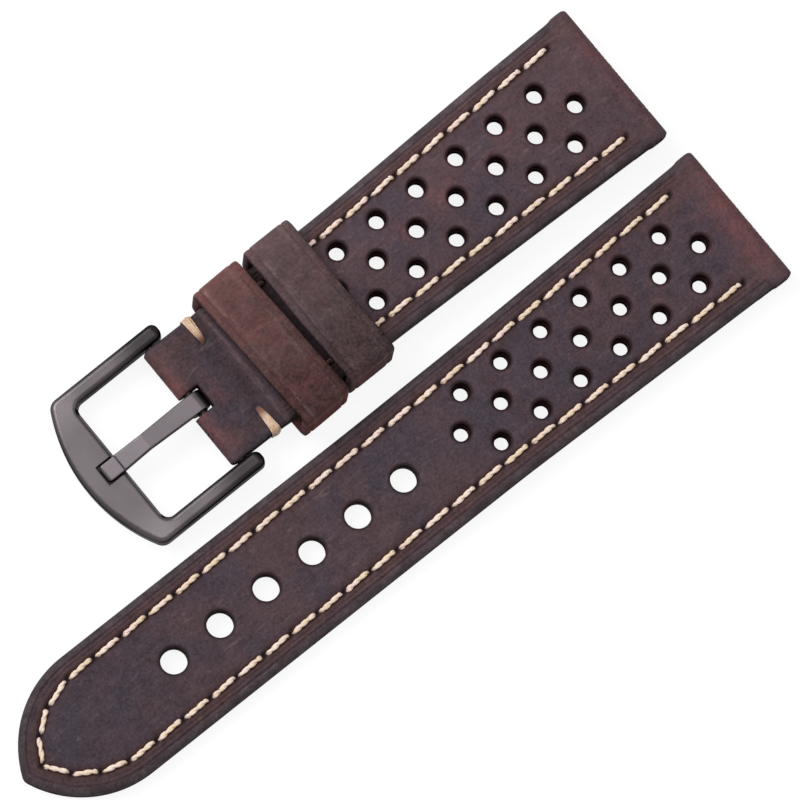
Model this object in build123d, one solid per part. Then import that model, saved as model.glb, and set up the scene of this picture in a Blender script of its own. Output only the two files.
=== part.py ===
from build123d import *
import os
from math import asin, atan2, degrees, sqrt

# A two-piece leather watch strap lying flat, seen from above as it is worn.
# +X runs along the strap from the tail's tip to the ends that meet the watch, +Y runs across
# from the long half to the short half with the buckle, and +Z is up.
# The origin is under the middle of the whole strap, on the surface that it lies on.

# Strap outline
tail_length = 125.0
short_length = 75.5
lug_width = 21.7
narrow_width = 19.7
tab_width = 19.4
taper_length = 46.0
taper_blend_radius = 450.0
tip_length = 14.2
tip_radius = 1.5
halves_spacing = 25.4
short_lug_setback = 1.1

# Leather layers
lining_thickness = 1.0
filler_thickness = 0.9
top_thickness = 1.5
tab_filler_thickness = 0.5
edge_radius = 0.35
thinning_length = 16.0
thin_tail_length = 62.0
lug_flap_length = 5.75
tab_length = 9.2
tab_step_length = 0.9
tab_flap_length = 17.0

# Tunnels for the bars
lug_bore_diameter = 1.8
bar_diameter = 1.5
bar_tunnel_play = 0.05
tunnel_wall = 0.8

# Holes
adjust_count = 6
adjust_pitch = 7.95
adjust_diameter = 3.7
adjust_tip_distance = 25.7
vent_count = 7
vent_pitch = 7.0
vent_row_spacing = 4.34
vent_diameter = 2.6
vent_lug_distance = 7.5

# Crease line pressed along the edges
crease_inset = 1.1
crease_width = 0.3
crease_depth = 0.15

# Edge stitching
stitch_inset = 2.85
stitch_pitch = 4.6
stitch_gap = 0.55
thread_width = 0.85
thread_depth = 0.3
thread_proud = 0.35
thread_crown = 0.25
thread_leg_diameter = 0.8
thread_play = 0.05
bobbin_height = 0.45
bobbin_recess = 0.05
tail_stitch_lug_distance = 6.4
short_stitch_lug_distance = 5.1
short_stitch_run = 59.8

# Tacks that close the fold round the buckle's bar
tack_fold_distance = 7.5
tack_reach = 3.9
tack_edge_width = 1.9
tack_hole_width = 0.9
tack_thickness = 0.4
tack_leg_diameter = 0.8
tack_play = 0.05

# Keepers
keeper_width = 7.65
keeper_thickness = 1.4
fixed_keeper_inner_width = 20.95
free_keeper_inner_width = 20.4
keeper_inner_height = 6.0
keeper_corner_radius = 1.9
keeper_inner_radius = 0.2
keeper_edge_radius = 0.3
keeper_play = 0.1
keeper_gap = 1.05
fixed_keeper_fold_distance = 13.95
fixed_keeper_shift = -0.5
fixed_keeper_turn = 1.9
free_keeper_turn = 0.5
keeper_seam_slit = 0.1
seam_stitch_length = 2.4
seam_stitch_width = 0.6
seam_stitch_height = 0.4
seam_stitch_spacing = 3.2
seam_leg_diameter = 0.5

# Buckle frame, measured from the bar's axis
frame_inner_width = 20.0
frame_arm_width = 2.35
frame_thickness = 3.0
frame_inner_reach = 13.0
frame_bar_width = 5.8
frame_bar_end_width = 2.4
frame_reach = frame_inner_reach + frame_bar_width
frame_corner_reach = frame_inner_reach + frame_bar_end_width
frame_tail = 2.5
frame_corner_radius = 1.7
frame_window_radius = 1.2
frame_outer_round = 0.8
frame_end_radius = 1.0
frame_side_radius = 1.0
frame_lip = 0.4
frame_lip_height = 1.2
frame_under_round = 0.35
frame_floor_gap = 0.1
recess_depth = 0.7
recess_reach = 3.0
recess_play = 0.25

# Tongue, measured from the bar's axis
tongue_base_width = 2.8
tongue_waist_width = 2.4
tongue_tip_width = 2.6
tongue_thickness = 1.25
tongue_wall = 0.7
tongue_play = 0.05
tongue_overhang = 2.8
tongue_reach = frame_inner_reach + tongue_overhang
tongue_bend_reach = 8.6
tongue_shoulder_reach = 1.0
tongue_arch = 0.2
tongue_rest_gap = 0.05
tongue_tip_step = 0.2
tongue_tip_round = 0.6
tongue_corner_radius = 0.6
tongue_edge_radius = 0.2
tongue_slot_width = 3.7
tongue_slot_depth = 3.2

# Spring bar
bar_end_play = 0.1
bar_wall = 0.15
bar_lip = 0.3
bar_pin_diameter = 0.8
bar_pin_length = 1.2
bar_pin_play = 0.04
bar_flange_play = 0.04
bar_flange_length = 1.2
arm_hole_depth = 1.4
spring_wire = 0.16
spring_pitch = 0.9
spring_play = 0.03

# One overrun serves every cut, and one margin every seating in a joint of two solids
overrun = 2.0
bite = 0.15

# Sizes that follow from the ones above
body_thickness = lining_thickness + filler_thickness + top_thickness
tab_thickness = lining_thickness + tab_filler_thickness + top_thickness
tail_thickness = lining_thickness + top_thickness
lug_bore_radius = lug_bore_diameter / 2
bar_radius = bar_diameter / 2
bar_tunnel_radius = bar_radius + bar_tunnel_play
frame_width = frame_inner_width + 2 * frame_arm_width
keeper_outer_height = keeper_inner_height + 2 * keeper_thickness
tip_arc_radius = (tip_length**2 + (narrow_width / 2) ** 2) / narrow_width
tail_y = (lug_width / 2 - halves_spacing - frame_width / 2) / 2
short_y = tail_y + halves_spacing
tail_lug_x = tail_length / 2
tail_tip_x = -tail_length / 2
short_lug_x = tail_lug_x - short_lug_setback
fold_x = short_lug_x - short_length
short_z = keeper_thickness + keeper_play
bar_x = fold_x + tab_thickness / 2
bar_z = short_z + tab_thickness / 2
fixed_keeper_x = fold_x + fixed_keeper_fold_distance
free_keeper_x = fixed_keeper_x + keeper_width + keeper_gap
frame_droop = degrees(
    asin((bar_z - frame_thickness / 2 - frame_floor_gap) / (frame_reach - frame_under_round))
)
os.makedirs("parts", exist_ok=True)


# Shapes shared by several pieces
def block(x_range, y_range, z_range):
    """A plain block between two values on each axis."""
    spans = [high - low for low, high in (x_range, y_range, z_range)]
    middles = [(high + low) / 2 for low, high in (x_range, y_range, z_range)]
    return Pos(*middles) * Box(*spans)


def side_face(points):
    """A face from points (x, z) of a side view."""
    return make_face(Polyline(*points, close=True))


def across(face, width):
    """A side view run across the strap, equally to both sides of its centre line."""
    return extrude(Plane.XZ * face, amount=width / 2, both=True)


def upright(face, height):
    """A plan face run up through the whole thickness."""
    return Pos(0, 0, -overrun) * extrude(face, amount=height + 2 * overrun)


def rounded_bar(length, width, height, crown):
    """A stitch lying along X on the plane z = 0, round at its ends and along its top."""
    bar = extrude(SlotOverall(length, width), amount=height)
    return fillet(bar.edges().group_by(Axis.Z)[-1], crown)


def save(name, shape):
    solids = shape.solids()
    whole = solids[0] if len(solids) == 1 else Compound(children=solids)
    whole.label = name
    export_step(whole, f"parts/{name}.step")
    print(name, len(solids), "solid", round(whole.volume, 3), "mm3")


# Plan outlines, each about its own centre line
def tail_edges(inset):
    """The long half's upper edge from the lug end to the tip's point, moved in by an inset."""
    side = narrow_width / 2 - inset
    arc_x = tail_tip_x + tip_length
    arc_y = narrow_width / 2 - tip_arc_radius
    radius = tip_arc_radius - inset
    end_angle = degrees(atan2(-arc_y, -sqrt(radius**2 - arc_y**2)))
    return [
        Line((tail_lug_x, lug_width / 2 - inset), (tail_lug_x - taper_length, side)),
        Line((tail_lug_x - taper_length, side), (arc_x, side)),
        CenterArc((arc_x, arc_y), radius, 90, end_angle - 90),
    ]


def tail_plan(inset=0):
    """The long half's outline, drawn in along its sides and tip by an inset."""
    upper = tail_edges(inset)
    lower = [edge.mirror(Plane.XZ) for edge in upper]
    back = Line(upper[0] @ 0, lower[0] @ 0)
    return make_face(upper + lower + [back])


def short_plan(inset=0):
    """The short half's outline, drawn in along its sides by an inset."""
    side, shoulder, tab = (width / 2 - inset for width in (narrow_width, lug_width, tab_width))
    step_x = fold_x + tab_length
    upper = [
        (short_lug_x, shoulder),
        (short_lug_x - taper_length, side),
        (step_x + 2 * tab_step_length, side),
        (step_x - tab_step_length, tab),
        (fold_x, tab),
    ]
    return make_face(Polyline(*upper, *[(x, -y) for x, y in reversed(upper)], close=True))


def near(vertex, others):
    return any((vertex.center() - other.center()).length < bite for other in others)


def eased(plan, lug_x, tip_corners):
    """An outline with the start of its taper blended, and its tip's point rounded if it has one."""
    corners = plan.vertices()
    taper_corners = [v for v in corners if abs(v.X - (lug_x - taper_length)) < bite]
    plan = fillet(taper_corners, taper_blend_radius)
    points = [v for v in plan.vertices() if near(v, tip_corners)]
    return fillet(points, tip_radius) if points else plan


def vent_places(lug_x):
    """Centres of the vent holes: a middle row and two outer rows set half a pitch over."""
    first = lug_x - vent_lug_distance - (vent_count - 1) * vent_pitch
    middle = [(first + i * vent_pitch, 0) for i in range(vent_count)]
    outer = [
        (first + (i + 1 / 2) * vent_pitch, side * vent_row_spacing)
        for i in range(vent_count - 1)
        for side in (-1, 1)
    ]
    return middle + outer


def disks(places, diameter):
    return [Pos(x, y) * Circle(diameter / 2) for x, y in places]


# Stitch rows: the places of the needle holes along a path
def places_along(edges, start, length):
    """Needle holes at an even pitch along joined edges, from a start distance."""
    count = max(round(length / stitch_pitch), 1)
    lengths = [edge.length for edge in edges]
    places = []
    for i in range(count + 1):
        distance = start + i * length / count
        for edge, edge_length in zip(edges, lengths):
            if distance <= edge_length or edge is edges[-1]:
                break
            distance -= edge_length
        point = edge.position_at(distance, position_mode=PositionMode.LENGTH)
        places.append((point.X, point.Y))
    return places


def tail_stitch_places():
    """One row that runs up the long half, round its tip and back."""
    upper = tail_edges(stitch_inset)
    outward = [Edge(edge.wrapped) for edge in upper]
    length = sum(edge.length for edge in outward) - tail_stitch_lug_distance
    half = places_along(outward, tail_stitch_lug_distance, length)
    return half + [(x, -y) for x, y in reversed(half[:-1])]


def short_stitch_places(side):
    edges = [
        Line(
            (short_lug_x, side * (lug_width / 2 - stitch_inset)),
            (short_lug_x - taper_length, side * (narrow_width / 2 - stitch_inset)),
        ),
        Line(
            (short_lug_x - taper_length, side * (narrow_width / 2 - stitch_inset)),
            (fold_x, side * (narrow_width / 2 - stitch_inset)),
        ),
    ]
    return places_along(edges, short_stitch_lug_distance, short_stitch_run)


def height_at(x, heights):
    """The top surface's height at x, between the nearest points of its side view."""
    for (x0, z0), (x1, z1) in zip(heights, heights[1:]):
        if x0 <= x <= x1:
            return z0 + (z1 - z0) * (x - x0) / (x1 - x0)
    return heights[-1][1]


def stitch_frames(places, heights):
    """A plane for each stitch: its middle on the surface, X along it and Z out of the leather."""
    frames = []
    for (x0, y0), (x1, y1) in zip(places, places[1:]):
        start = Vector(x0, y0, height_at(x0, heights))
        end = Vector(x1, y1, height_at(x1, heights))
        along = end - start
        outward = along.cross(Vector(-along.Y, along.X, 0))
        frames.append((Plane((start + end) / 2, x_dir=along, z_dir=outward), along.length))
    return frames


def needle_thread(places, heights, lock_z):
    """The upper thread: a bar for each stitch, with a leg down each needle hole."""
    pieces = []
    for plane, length in stitch_frames(places, heights):
        bar = rounded_bar(
            length - stitch_gap, thread_width, thread_depth + thread_proud, thread_crown
        )
        pieces.append(plane.location * (Pos(0, 0, -thread_depth) * bar))
    for x, y in places:
        top = height_at(x, heights) - thread_depth + bite
        leg = Cylinder(
            thread_leg_diameter / 2, top - lock_z, align=(Align.CENTER, Align.CENTER, Align.MIN)
        )
        pieces.append(Pos(x, y, lock_z) * leg)
    return Part() + pieces


def needle_pockets(places, heights):
    """Grooves that the upper thread's bars lie in."""
    pockets = []
    for plane, length in stitch_frames(places, heights):
        slot = SlotOverall(length - stitch_gap + 2 * thread_play, thread_width + 2 * thread_play)
        groove = extrude(slot, amount=thread_depth + thread_play + overrun)
        pockets.append(plane.location * (Pos(0, 0, -thread_depth - thread_play) * groove))
    return pockets


def bobbin_thread(places, lock_z):
    """The lower thread: bars sunk in the underside, with legs up to meet the upper thread."""
    pieces = []
    for plane, length in stitch_frames(places, [(tail_tip_x, 0), (tail_lug_x, 0)]):
        bar = extrude(SlotOverall(length - stitch_gap, thread_width), amount=bobbin_height)
        pieces.append(plane.location * (Pos(0, 0, bobbin_recess) * bar))
    foot = bobbin_recess + bobbin_height - bite
    for x, y in places:
        leg = Cylinder(
            thread_leg_diameter / 2, lock_z - foot, align=(Align.CENTER, Align.CENTER, Align.MIN)
        )
        pieces.append(Pos(x, y, foot) * leg)
    return Part() + pieces


def bobbin_pockets(places):
    """Grooves in the underside for the lower thread's bars."""
    pockets = []
    depth = bobbin_recess + bobbin_height + thread_play
    for plane, length in stitch_frames(places, [(tail_tip_x, 0), (tail_lug_x, 0)]):
        slot = SlotOverall(length - stitch_gap + 2 * thread_play, thread_width + 2 * thread_play)
        groove = extrude(slot, amount=depth + overrun)
        pockets.append(plane.location * (Pos(0, 0, -overrun) * groove))
    return pockets


def needle_disks(places):
    return disks(places, thread_leg_diameter + 2 * thread_play)


def top_edges(shape, plan, above):
    """The upper edges that follow the outline, higher than a given level."""
    outline = plan.face().outer_wire()
    chosen = []
    for edge in shape.edges():
        middle = edge.position_at(1 / 2)
        on_outline = outline.distance_to(Vertex(middle.X, middle.Y, 0)) < crease_depth
        upright_edge = abs(edge.tangent_at(1 / 2).Z) > 1 / 2
        if on_outline and middle.Z > above and not upright_edge:
            chosen.append(edge)
    return chosen


def crease(outer, inner, heights):
    """The shallow line pressed in the top leather beside its edge."""
    ring = upright(outer - inner, body_thickness)
    deep = [(x, z - crease_depth) for x, z in reversed(heights)]
    high = [(x, z + overrun) for x, z in heights]
    return ring & across(side_face(high + deep), lug_width)


# Long half
thin_end_x = tail_tip_x + thin_tail_length
thick_start_x = thin_end_x + thinning_length
lug_round = body_thickness / 2
tail_heights = [
    (tail_tip_x, tail_thickness),
    (thin_end_x, tail_thickness),
    (thick_start_x, body_thickness),
    (tail_lug_x, body_thickness),
]
tail_places = tail_stitch_places()
tail_outline = eased(tail_plan(), tail_lug_x, [Vertex(tail_tip_x, 0)])
adjust_places = [
    (tail_tip_x + adjust_tip_distance + i * adjust_pitch, 0) for i in range(adjust_count)
]
tail_punched = tail_outline - (
    disks(adjust_places, adjust_diameter)
    + disks(vent_places(tail_lug_x), vent_diameter)
    + needle_disks(tail_places)
)
tail_block = upright(tail_punched, body_thickness)
tail_bore_x = tail_lug_x - lug_round
tail_side = side_face(
    [(tail_tip_x - overrun, 0), (tail_bore_x, 0), (tail_bore_x, body_thickness)]
    + [(x, z) for x, z in reversed(tail_heights[:-1])]
    + [(tail_tip_x - overrun, tail_thickness)]
)
lug_disk = Pos(tail_bore_x, lug_round) * Circle(lug_round)
lug_hole = Pos(tail_bore_x, lug_round) * Circle(lug_bore_radius)
filler_end_x = tail_bore_x - lug_bore_radius - tunnel_wall
tail_flap_x = tail_lug_x - lug_flap_length
tail_filler_side = side_face(
    [
        (thin_end_x, lining_thickness),
        (thick_start_x, lining_thickness + filler_thickness),
        (filler_end_x, lining_thickness + filler_thickness),
        (filler_end_x, lining_thickness),
    ]
)
tail_lining_side = side_face(
    [
        (tail_tip_x - overrun, 0),
        (tail_flap_x, 0),
        (tail_flap_x, lining_thickness),
        (tail_tip_x - overrun, lining_thickness),
    ]
)
tail_top_side = tail_side + lug_disk - lug_hole - tail_filler_side - tail_lining_side
tail_top = across(tail_top_side, lug_width) & upright(tail_outline, body_thickness)
tail_top = fillet(top_edges(tail_top, tail_outline, tail_thickness - bite), edge_radius)
tail_top = tail_top & tail_block
tail_top -= needle_pockets(tail_places, tail_heights)
tail_top -= [crease(tail_plan(crease_inset), tail_plan(crease_inset + crease_width), tail_heights)]
tail_top -= bobbin_pockets(tail_places)
tail_lining = (across(tail_lining_side, lug_width) & tail_block) - bobbin_pockets(tail_places)
tail_filler = across(tail_filler_side, lug_width) & tail_block
tail_needle = needle_thread(tail_places, tail_heights, lining_thickness)
tail_bobbin = bobbin_thread(tail_places, lining_thickness)
tail_place = Pos(0, tail_y, 0)
save("tail_top_leather", tail_place * tail_top)
save("tail_lining_leather", tail_place * tail_lining)
save("tail_filler", tail_place * tail_filler)
save("tail_needle_thread", tail_place * tail_needle)
save("tail_bobbin_thread", tail_place * tail_bobbin)

# Short half
step_x = fold_x + tab_length
fold_round = tab_thickness / 2
short_bore_x = short_lug_x - lug_round
short_filler_end_x = short_bore_x - lug_bore_radius - tunnel_wall
short_filler_start_x = bar_x + bar_tunnel_radius + tunnel_wall
short_heights = [
    (fold_x, tab_thickness),
    (step_x, tab_thickness),
    (step_x + tab_step_length, body_thickness),
    (short_lug_x, body_thickness),
]
short_rows = [short_stitch_places(1), short_stitch_places(-1)]
short_places = short_rows[0] + short_rows[1]
tack_x = fold_x + tack_fold_distance
tack_hole_y = tab_width / 2 - tack_reach
tack_hole_diameter = tack_leg_diameter + 2 * tack_play
short_outline = eased(short_plan(), short_lug_x, [])
tongue_slot = Pos(fold_x, 0) * Rectangle(2 * tongue_slot_depth, tongue_slot_width)
short_punched = short_outline - (
    disks(vent_places(short_lug_x), vent_diameter)
    + needle_disks(short_places)
    + disks([(tack_x, tack_hole_y), (tack_x, -tack_hole_y)], tack_hole_diameter)
    + [tongue_slot]
)
short_block = upright(short_punched, body_thickness)
short_side = side_face(
    [(bar_x, 0), (short_bore_x, 0), (short_bore_x, body_thickness)]
    + [(x, z) for x, z in reversed(short_heights[1:-1])]
    + [(bar_x, tab_thickness)]
)
short_filler_side = side_face(
    [
        (short_filler_start_x, lining_thickness),
        (short_filler_start_x, tab_thickness - top_thickness),
        (step_x, tab_thickness - top_thickness),
        (step_x + tab_step_length, body_thickness - top_thickness),
        (short_filler_end_x, body_thickness - top_thickness),
        (short_filler_end_x, lining_thickness),
    ]
)
short_lining_start_x = fold_x + tab_flap_length
short_lining_end_x = short_lug_x - lug_flap_length
short_lining_side = side_face(
    [
        (short_lining_start_x, 0),
        (short_lining_end_x, 0),
        (short_lining_end_x, lining_thickness),
        (short_lining_start_x, lining_thickness),
    ]
)
short_top_side = (
    short_side
    + Pos(short_bore_x, lug_round) * Circle(lug_round)
    + Pos(bar_x, fold_round) * Circle(fold_round)
    - Pos(short_bore_x, lug_round) * Circle(lug_bore_radius)
    - Pos(bar_x, fold_round) * Circle(bar_tunnel_radius)
    - short_filler_side
    - short_lining_side
)
short_top = across(short_top_side, lug_width) & upright(short_outline, body_thickness)
short_top = fillet(top_edges(short_top, short_outline, fold_round + bite), edge_radius)
short_top = short_top & short_block
for row in short_rows:
    short_top -= needle_pockets(row, short_heights)
    short_top -= bobbin_pockets(row)
short_top -= [
    crease(short_plan(crease_inset), short_plan(crease_inset + crease_width), short_heights)
    & block((step_x, short_lug_x + overrun), (-lug_width, lug_width), (0, 2 * body_thickness))
]
short_lining = across(short_lining_side, lug_width) & short_block
for row in short_rows:
    short_lining -= bobbin_pockets(row)
short_filler = across(short_filler_side, lug_width) & short_block
short_needle = Compound(
    children=[
        solid
        for row in short_rows
        for solid in needle_thread(row, short_heights, lining_thickness).solids()
    ]
)
short_bobbin = Compound(
    children=[solid for row in short_rows for solid in bobbin_thread(row, lining_thickness).solids()]
)
short_place = Pos(0, short_y, short_z)
save("short_top_leather", short_place * short_top)
save("short_lining_leather", short_place * short_lining)
save("short_filler", short_place * short_filler)
save("short_needle_thread", short_place * short_needle)
save("short_bobbin_thread", short_place * short_bobbin)


# Tacks: thread wound from a hole over the tab's edge and back to the hole from below
def tack():
    start_y = tack_hole_y - tack_leg_diameter / 2
    edge_y = tab_width / 2
    outer_corner = edge_y + tack_thickness
    wrap = make_face(
        Polyline(
            (start_y, -tack_thickness),
            (outer_corner, -tack_thickness),
            (outer_corner, tab_thickness + tack_thickness),
            (start_y, tab_thickness + tack_thickness),
            close=True,
        )
    )
    corners = [v for v in wrap.vertices() if v.X > edge_y]
    wrap = fillet(corners, tack_thickness + tack_play)
    wrap -= Pos((start_y + edge_y) / 2, tab_thickness / 2) * Rectangle(
        edge_y - start_y, tab_thickness
    )
    band = extrude(Plane.YZ * wrap, amount=tack_edge_width, both=True)
    fan = make_face(
        Polyline(
            (-tack_hole_width / 2, start_y - bite),
            (tack_hole_width / 2, start_y - bite),
            (tack_edge_width / 2, outer_corner + bite),
            (-tack_edge_width / 2, outer_corner + bite),
            close=True,
        )
    )
    leg = Pos(0, tack_hole_y, tab_thickness / 2) * Cylinder(
        tack_leg_diameter / 2, tab_thickness + tack_thickness
    )
    return (band & upright(fan, body_thickness)) + leg


far_tack = Pos(tack_x, short_y, short_z) * tack()
near_tack = Pos(tack_x, short_y, short_z) * tack().mirror(Plane.XZ)
save("fold_tack_far", far_tack)
save("fold_tack_near", near_tack)


# Keepers: leather bands closed by a butt seam underneath
def seam_places():
    """The two ends of each seam stitch, across the slit."""
    legs = seam_stitch_length / 2 - seam_stitch_width / 2
    return [
        (side * seam_stitch_spacing / 2, end * legs) for side in (-1, 1) for end in (-1, 1)
    ]


def keeper(inner_width):
    outer_width = inner_width + 2 * keeper_thickness
    band = RectangleRounded(outer_width, keeper_outer_height, keeper_corner_radius)
    band -= RectangleRounded(inner_width, keeper_inner_height, keeper_inner_radius)
    ring = extrude(Plane.YZ * band, amount=keeper_width / 2, both=True)
    rims = [
        edge
        for edge in ring.edges().filter_by(Plane.YZ)
        if abs(edge.center().Y) > inner_width / 2 + bite
        or abs(edge.center().Z) > keeper_inner_height / 2 + bite
    ]
    ring = Pos(0, 0, keeper_outer_height / 2) * fillet(rims, keeper_edge_radius)
    slit = Box(keeper_width + overrun, keeper_seam_slit, 2 * keeper_thickness + bite)
    grooves = [
        Pos(side * seam_stitch_spacing / 2, 0, -overrun)
        * extrude(
            Rot(0, 0, 90)
            * SlotOverall(seam_stitch_length + thread_play, seam_stitch_width + thread_play),
            amount=overrun + seam_stitch_height + 2 * bobbin_recess,
        )
        for side in (-1, 1)
    ]
    holes = [
        Pos(x, y, keeper_thickness / 2)
        * Cylinder(seam_leg_diameter / 2 + thread_play, keeper_thickness + overrun)
        for x, y in seam_places()
    ]
    return ring - ([slit] + grooves + holes)


def keeper_seam():
    """Two stitches across the slit, sunk below the keeper's underside."""
    stitches = []
    for side in (-1, 1):
        middle = side * seam_stitch_spacing / 2
        bar = extrude(
            Rot(0, 0, 90) * SlotOverall(seam_stitch_length, seam_stitch_width),
            amount=seam_stitch_height,
        )
        legs = [
            Pos(x - middle, y, bite)
            * Cylinder(
                seam_leg_diameter / 2,
                keeper_thickness - 2 * bobbin_recess - bite,
                align=(Align.CENTER, Align.CENTER, Align.MIN),
            )
            for x, y in seam_places()
            if x * side > 0
        ]
        stitches.append(Pos(middle, 0, bobbin_recess) * (bar + legs))
    return Compound(children=[solid for stitch in stitches for solid in stitch.solids()])


fixed_place = Pos(fixed_keeper_x, short_y + fixed_keeper_shift, keeper_play)
fixed_place = fixed_place * Rot(0, 0, fixed_keeper_turn)
free_place = Pos(free_keeper_x, short_y, 0) * Rot(0, 0, free_keeper_turn)
save("fixed_keeper", fixed_place * keeper(fixed_keeper_inner_width))
save("fixed_keeper_seam", fixed_place * keeper_seam())
save("free_keeper", free_place * keeper(free_keeper_inner_width))
save("free_keeper_seam", free_place * keeper_seam())


# Buckle frame: two arms and a bowed front bar, about the bar's axis
def frame_window(front):
    window = Pos((front + frame_tail + overrun) / 2, 0) * Rectangle(
        frame_tail + overrun - front, frame_inner_width
    )
    corners = [v for v in window.vertices() if v.X < 0]
    return fillet(corners, frame_window_radius)


def buckle_frame():
    half = frame_width / 2
    bow = ThreePointArc((-frame_corner_reach, -half), (-frame_reach, 0), (-frame_corner_reach, half))
    sides = Polyline(
        (-frame_corner_reach, half), (frame_tail, half), (frame_tail, -half),
        (-frame_corner_reach, -half),
    )
    plan = make_face([bow, sides])
    plan = fillet([v for v in plan.vertices() if v.X < 0], frame_corner_radius)
    plan -= frame_window(-frame_inner_reach)
    ends = [v for v in plan.vertices() if abs(v.X - frame_tail) < bite]
    plan = fillet(ends, frame_end_radius)
    frame = extrude(plan, amount=frame_thickness / 2, both=True)
    tail_ends = Pos((frame_tail - frame_reach) / 2, 0) * RectangleRounded(
        frame_tail + frame_reach, frame_thickness, frame_side_radius
    )
    tail_ends += Pos(-frame_reach, 0) * Rectangle(frame_reach, frame_thickness)
    frame = frame & across(tail_ends, frame_width)
    top = frame.edges().group_by(Axis.Z)[-1]
    frame = fillet(top, frame_outer_round)
    ledge = extrude(
        frame_window(-frame_inner_reach - frame_lip)
        - Pos(frame_tail, 0) * Rectangle(2 * (frame_tail + frame_inner_reach), frame_width),
        amount=frame_thickness,
    )
    frame -= Pos(0, 0, frame_lip_height - frame_thickness / 2) * ledge
    recess = block(
        (-frame_inner_reach - recess_reach, overrun - frame_inner_reach),
        (-tongue_tip_width / 2 - recess_play, tongue_tip_width / 2 + recess_play),
        (frame_thickness / 2 - recess_depth, frame_thickness),
    )
    hole_length = frame_inner_width + 2 * arm_hole_depth
    hole = Rot(90, 0, 0) * Cylinder(bar_pin_diameter / 2 + bar_pin_play, hole_length)
    return frame - [recess, hole]


def buckle_tongue():
    ring_radius = bar_radius + tongue_play + tongue_wall
    rest_z = frame_thickness / 2 - recess_depth + tongue_rest_gap
    crest_z = rest_z + tongue_arch
    side = side_face(
        [
            (0, ring_radius),
            (-tongue_bend_reach, crest_z + tongue_thickness),
            (-frame_inner_reach, rest_z + tongue_thickness),
            (-frame_inner_reach - tongue_tip_step, rest_z + tongue_thickness - tongue_tip_step),
            (-tongue_reach, rest_z + tongue_thickness - tongue_tip_step),
            (-tongue_reach, rest_z),
            (-frame_inner_reach, rest_z),
            (-tongue_bend_reach, crest_z),
            (0, ring_radius - tongue_thickness),
        ]
    )
    tip_top = [v for v in side.vertices() if v.X < bite - tongue_reach and v.Y > rest_z + bite]
    side = fillet(tip_top, tongue_tip_round)
    side += Circle(ring_radius)
    side -= Circle(bar_radius + tongue_play)
    base, waist, tip = (w / 2 for w in (tongue_base_width, tongue_waist_width, tongue_tip_width))
    upper = [
        (ring_radius, base),
        (-tongue_shoulder_reach, base),
        (-tongue_bend_reach, waist),
        (-frame_inner_reach, tip),
        (-tongue_reach, tip),
    ]
    plan = make_face(Polyline(*upper, *[(x, -y) for x, y in reversed(upper)], close=True))
    tip_corners = [v for v in plan.vertices() if v.X < bite - tongue_reach]
    plan = fillet(tip_corners, tongue_corner_radius)
    tongue = across(side, tongue_base_width) & upright(plan, frame_thickness)
    rims = [edge for edge in top_edges(tongue, plan, rest_z + bite) if edge.center().X < 0]
    return fillet(rims, tongue_edge_radius)


# Spring bar: a tube with two sprung tips
def bar_tube():
    length = frame_inner_width - 2 * bar_end_play
    bore = Cylinder(bar_radius - bar_wall, length - 2 * bar_lip)
    mouth = Cylinder(bar_pin_diameter / 2 + bar_pin_play, length + overrun)
    return Rot(90, 0, 0) * (Cylinder(bar_radius, length) - [bore, mouth])


def bar_tip():
    """The tip at the far end: a pin through the tube's lip, on a flange inside the tube."""
    lip_y = frame_inner_width / 2 - bar_end_play - bar_lip - bar_pin_play
    pin_length = bar_pin_play + bar_lip + bar_end_play + bar_pin_length + bite
    upward = (Align.CENTER, Align.CENTER, Align.MIN)
    flange = Cylinder(
        bar_radius - bar_wall - bar_flange_play, bar_flange_length,
        align=(Align.CENTER, Align.CENTER, Align.MAX),
    )
    pin = Pos(0, 0, -bite) * Cylinder(bar_pin_diameter / 2, pin_length, align=upward)
    return Pos(0, lip_y, 0) * (Rot(-90, 0, 0) * (flange + pin))


def bar_spring():
    """One open coil between the two flanges."""
    lip_y = frame_inner_width / 2 - bar_end_play - bar_lip - bar_pin_play
    length = 2 * (lip_y - bar_flange_length - spring_wire / 2 - spring_play)
    radius = bar_radius - bar_wall - spring_play - spring_wire / 2
    path = Helix(pitch=spring_pitch, height=length, radius=radius)
    start = Plane(origin=path @ 0, z_dir=path % 0)
    coil = sweep(start * Circle(spring_wire / 2), path=path, is_frenet=True)
    return Rot(-90, 0, 0) * (Pos(0, 0, -length / 2) * coil)


bar_place = Pos(bar_x, short_y, bar_z)
frame_place = bar_place * Rot(0, -frame_droop, 0)
save("buckle_frame", frame_place * buckle_frame())
save("buckle_tongue", frame_place * buckle_tongue())
save("bar_tube", bar_place * bar_tube())
save("bar_tip_far", bar_place * bar_tip())
save("bar_tip_near", bar_place * bar_tip().mirror(Plane.XZ))
save("bar_spring", bar_place * bar_spring())
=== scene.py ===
from math import asin, atan2, cos, hypot, pi, radians, sin, sqrt

import bmesh
import bpy
import numpy as np
from mathutils import Matrix, Vector, geometry, noise


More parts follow.
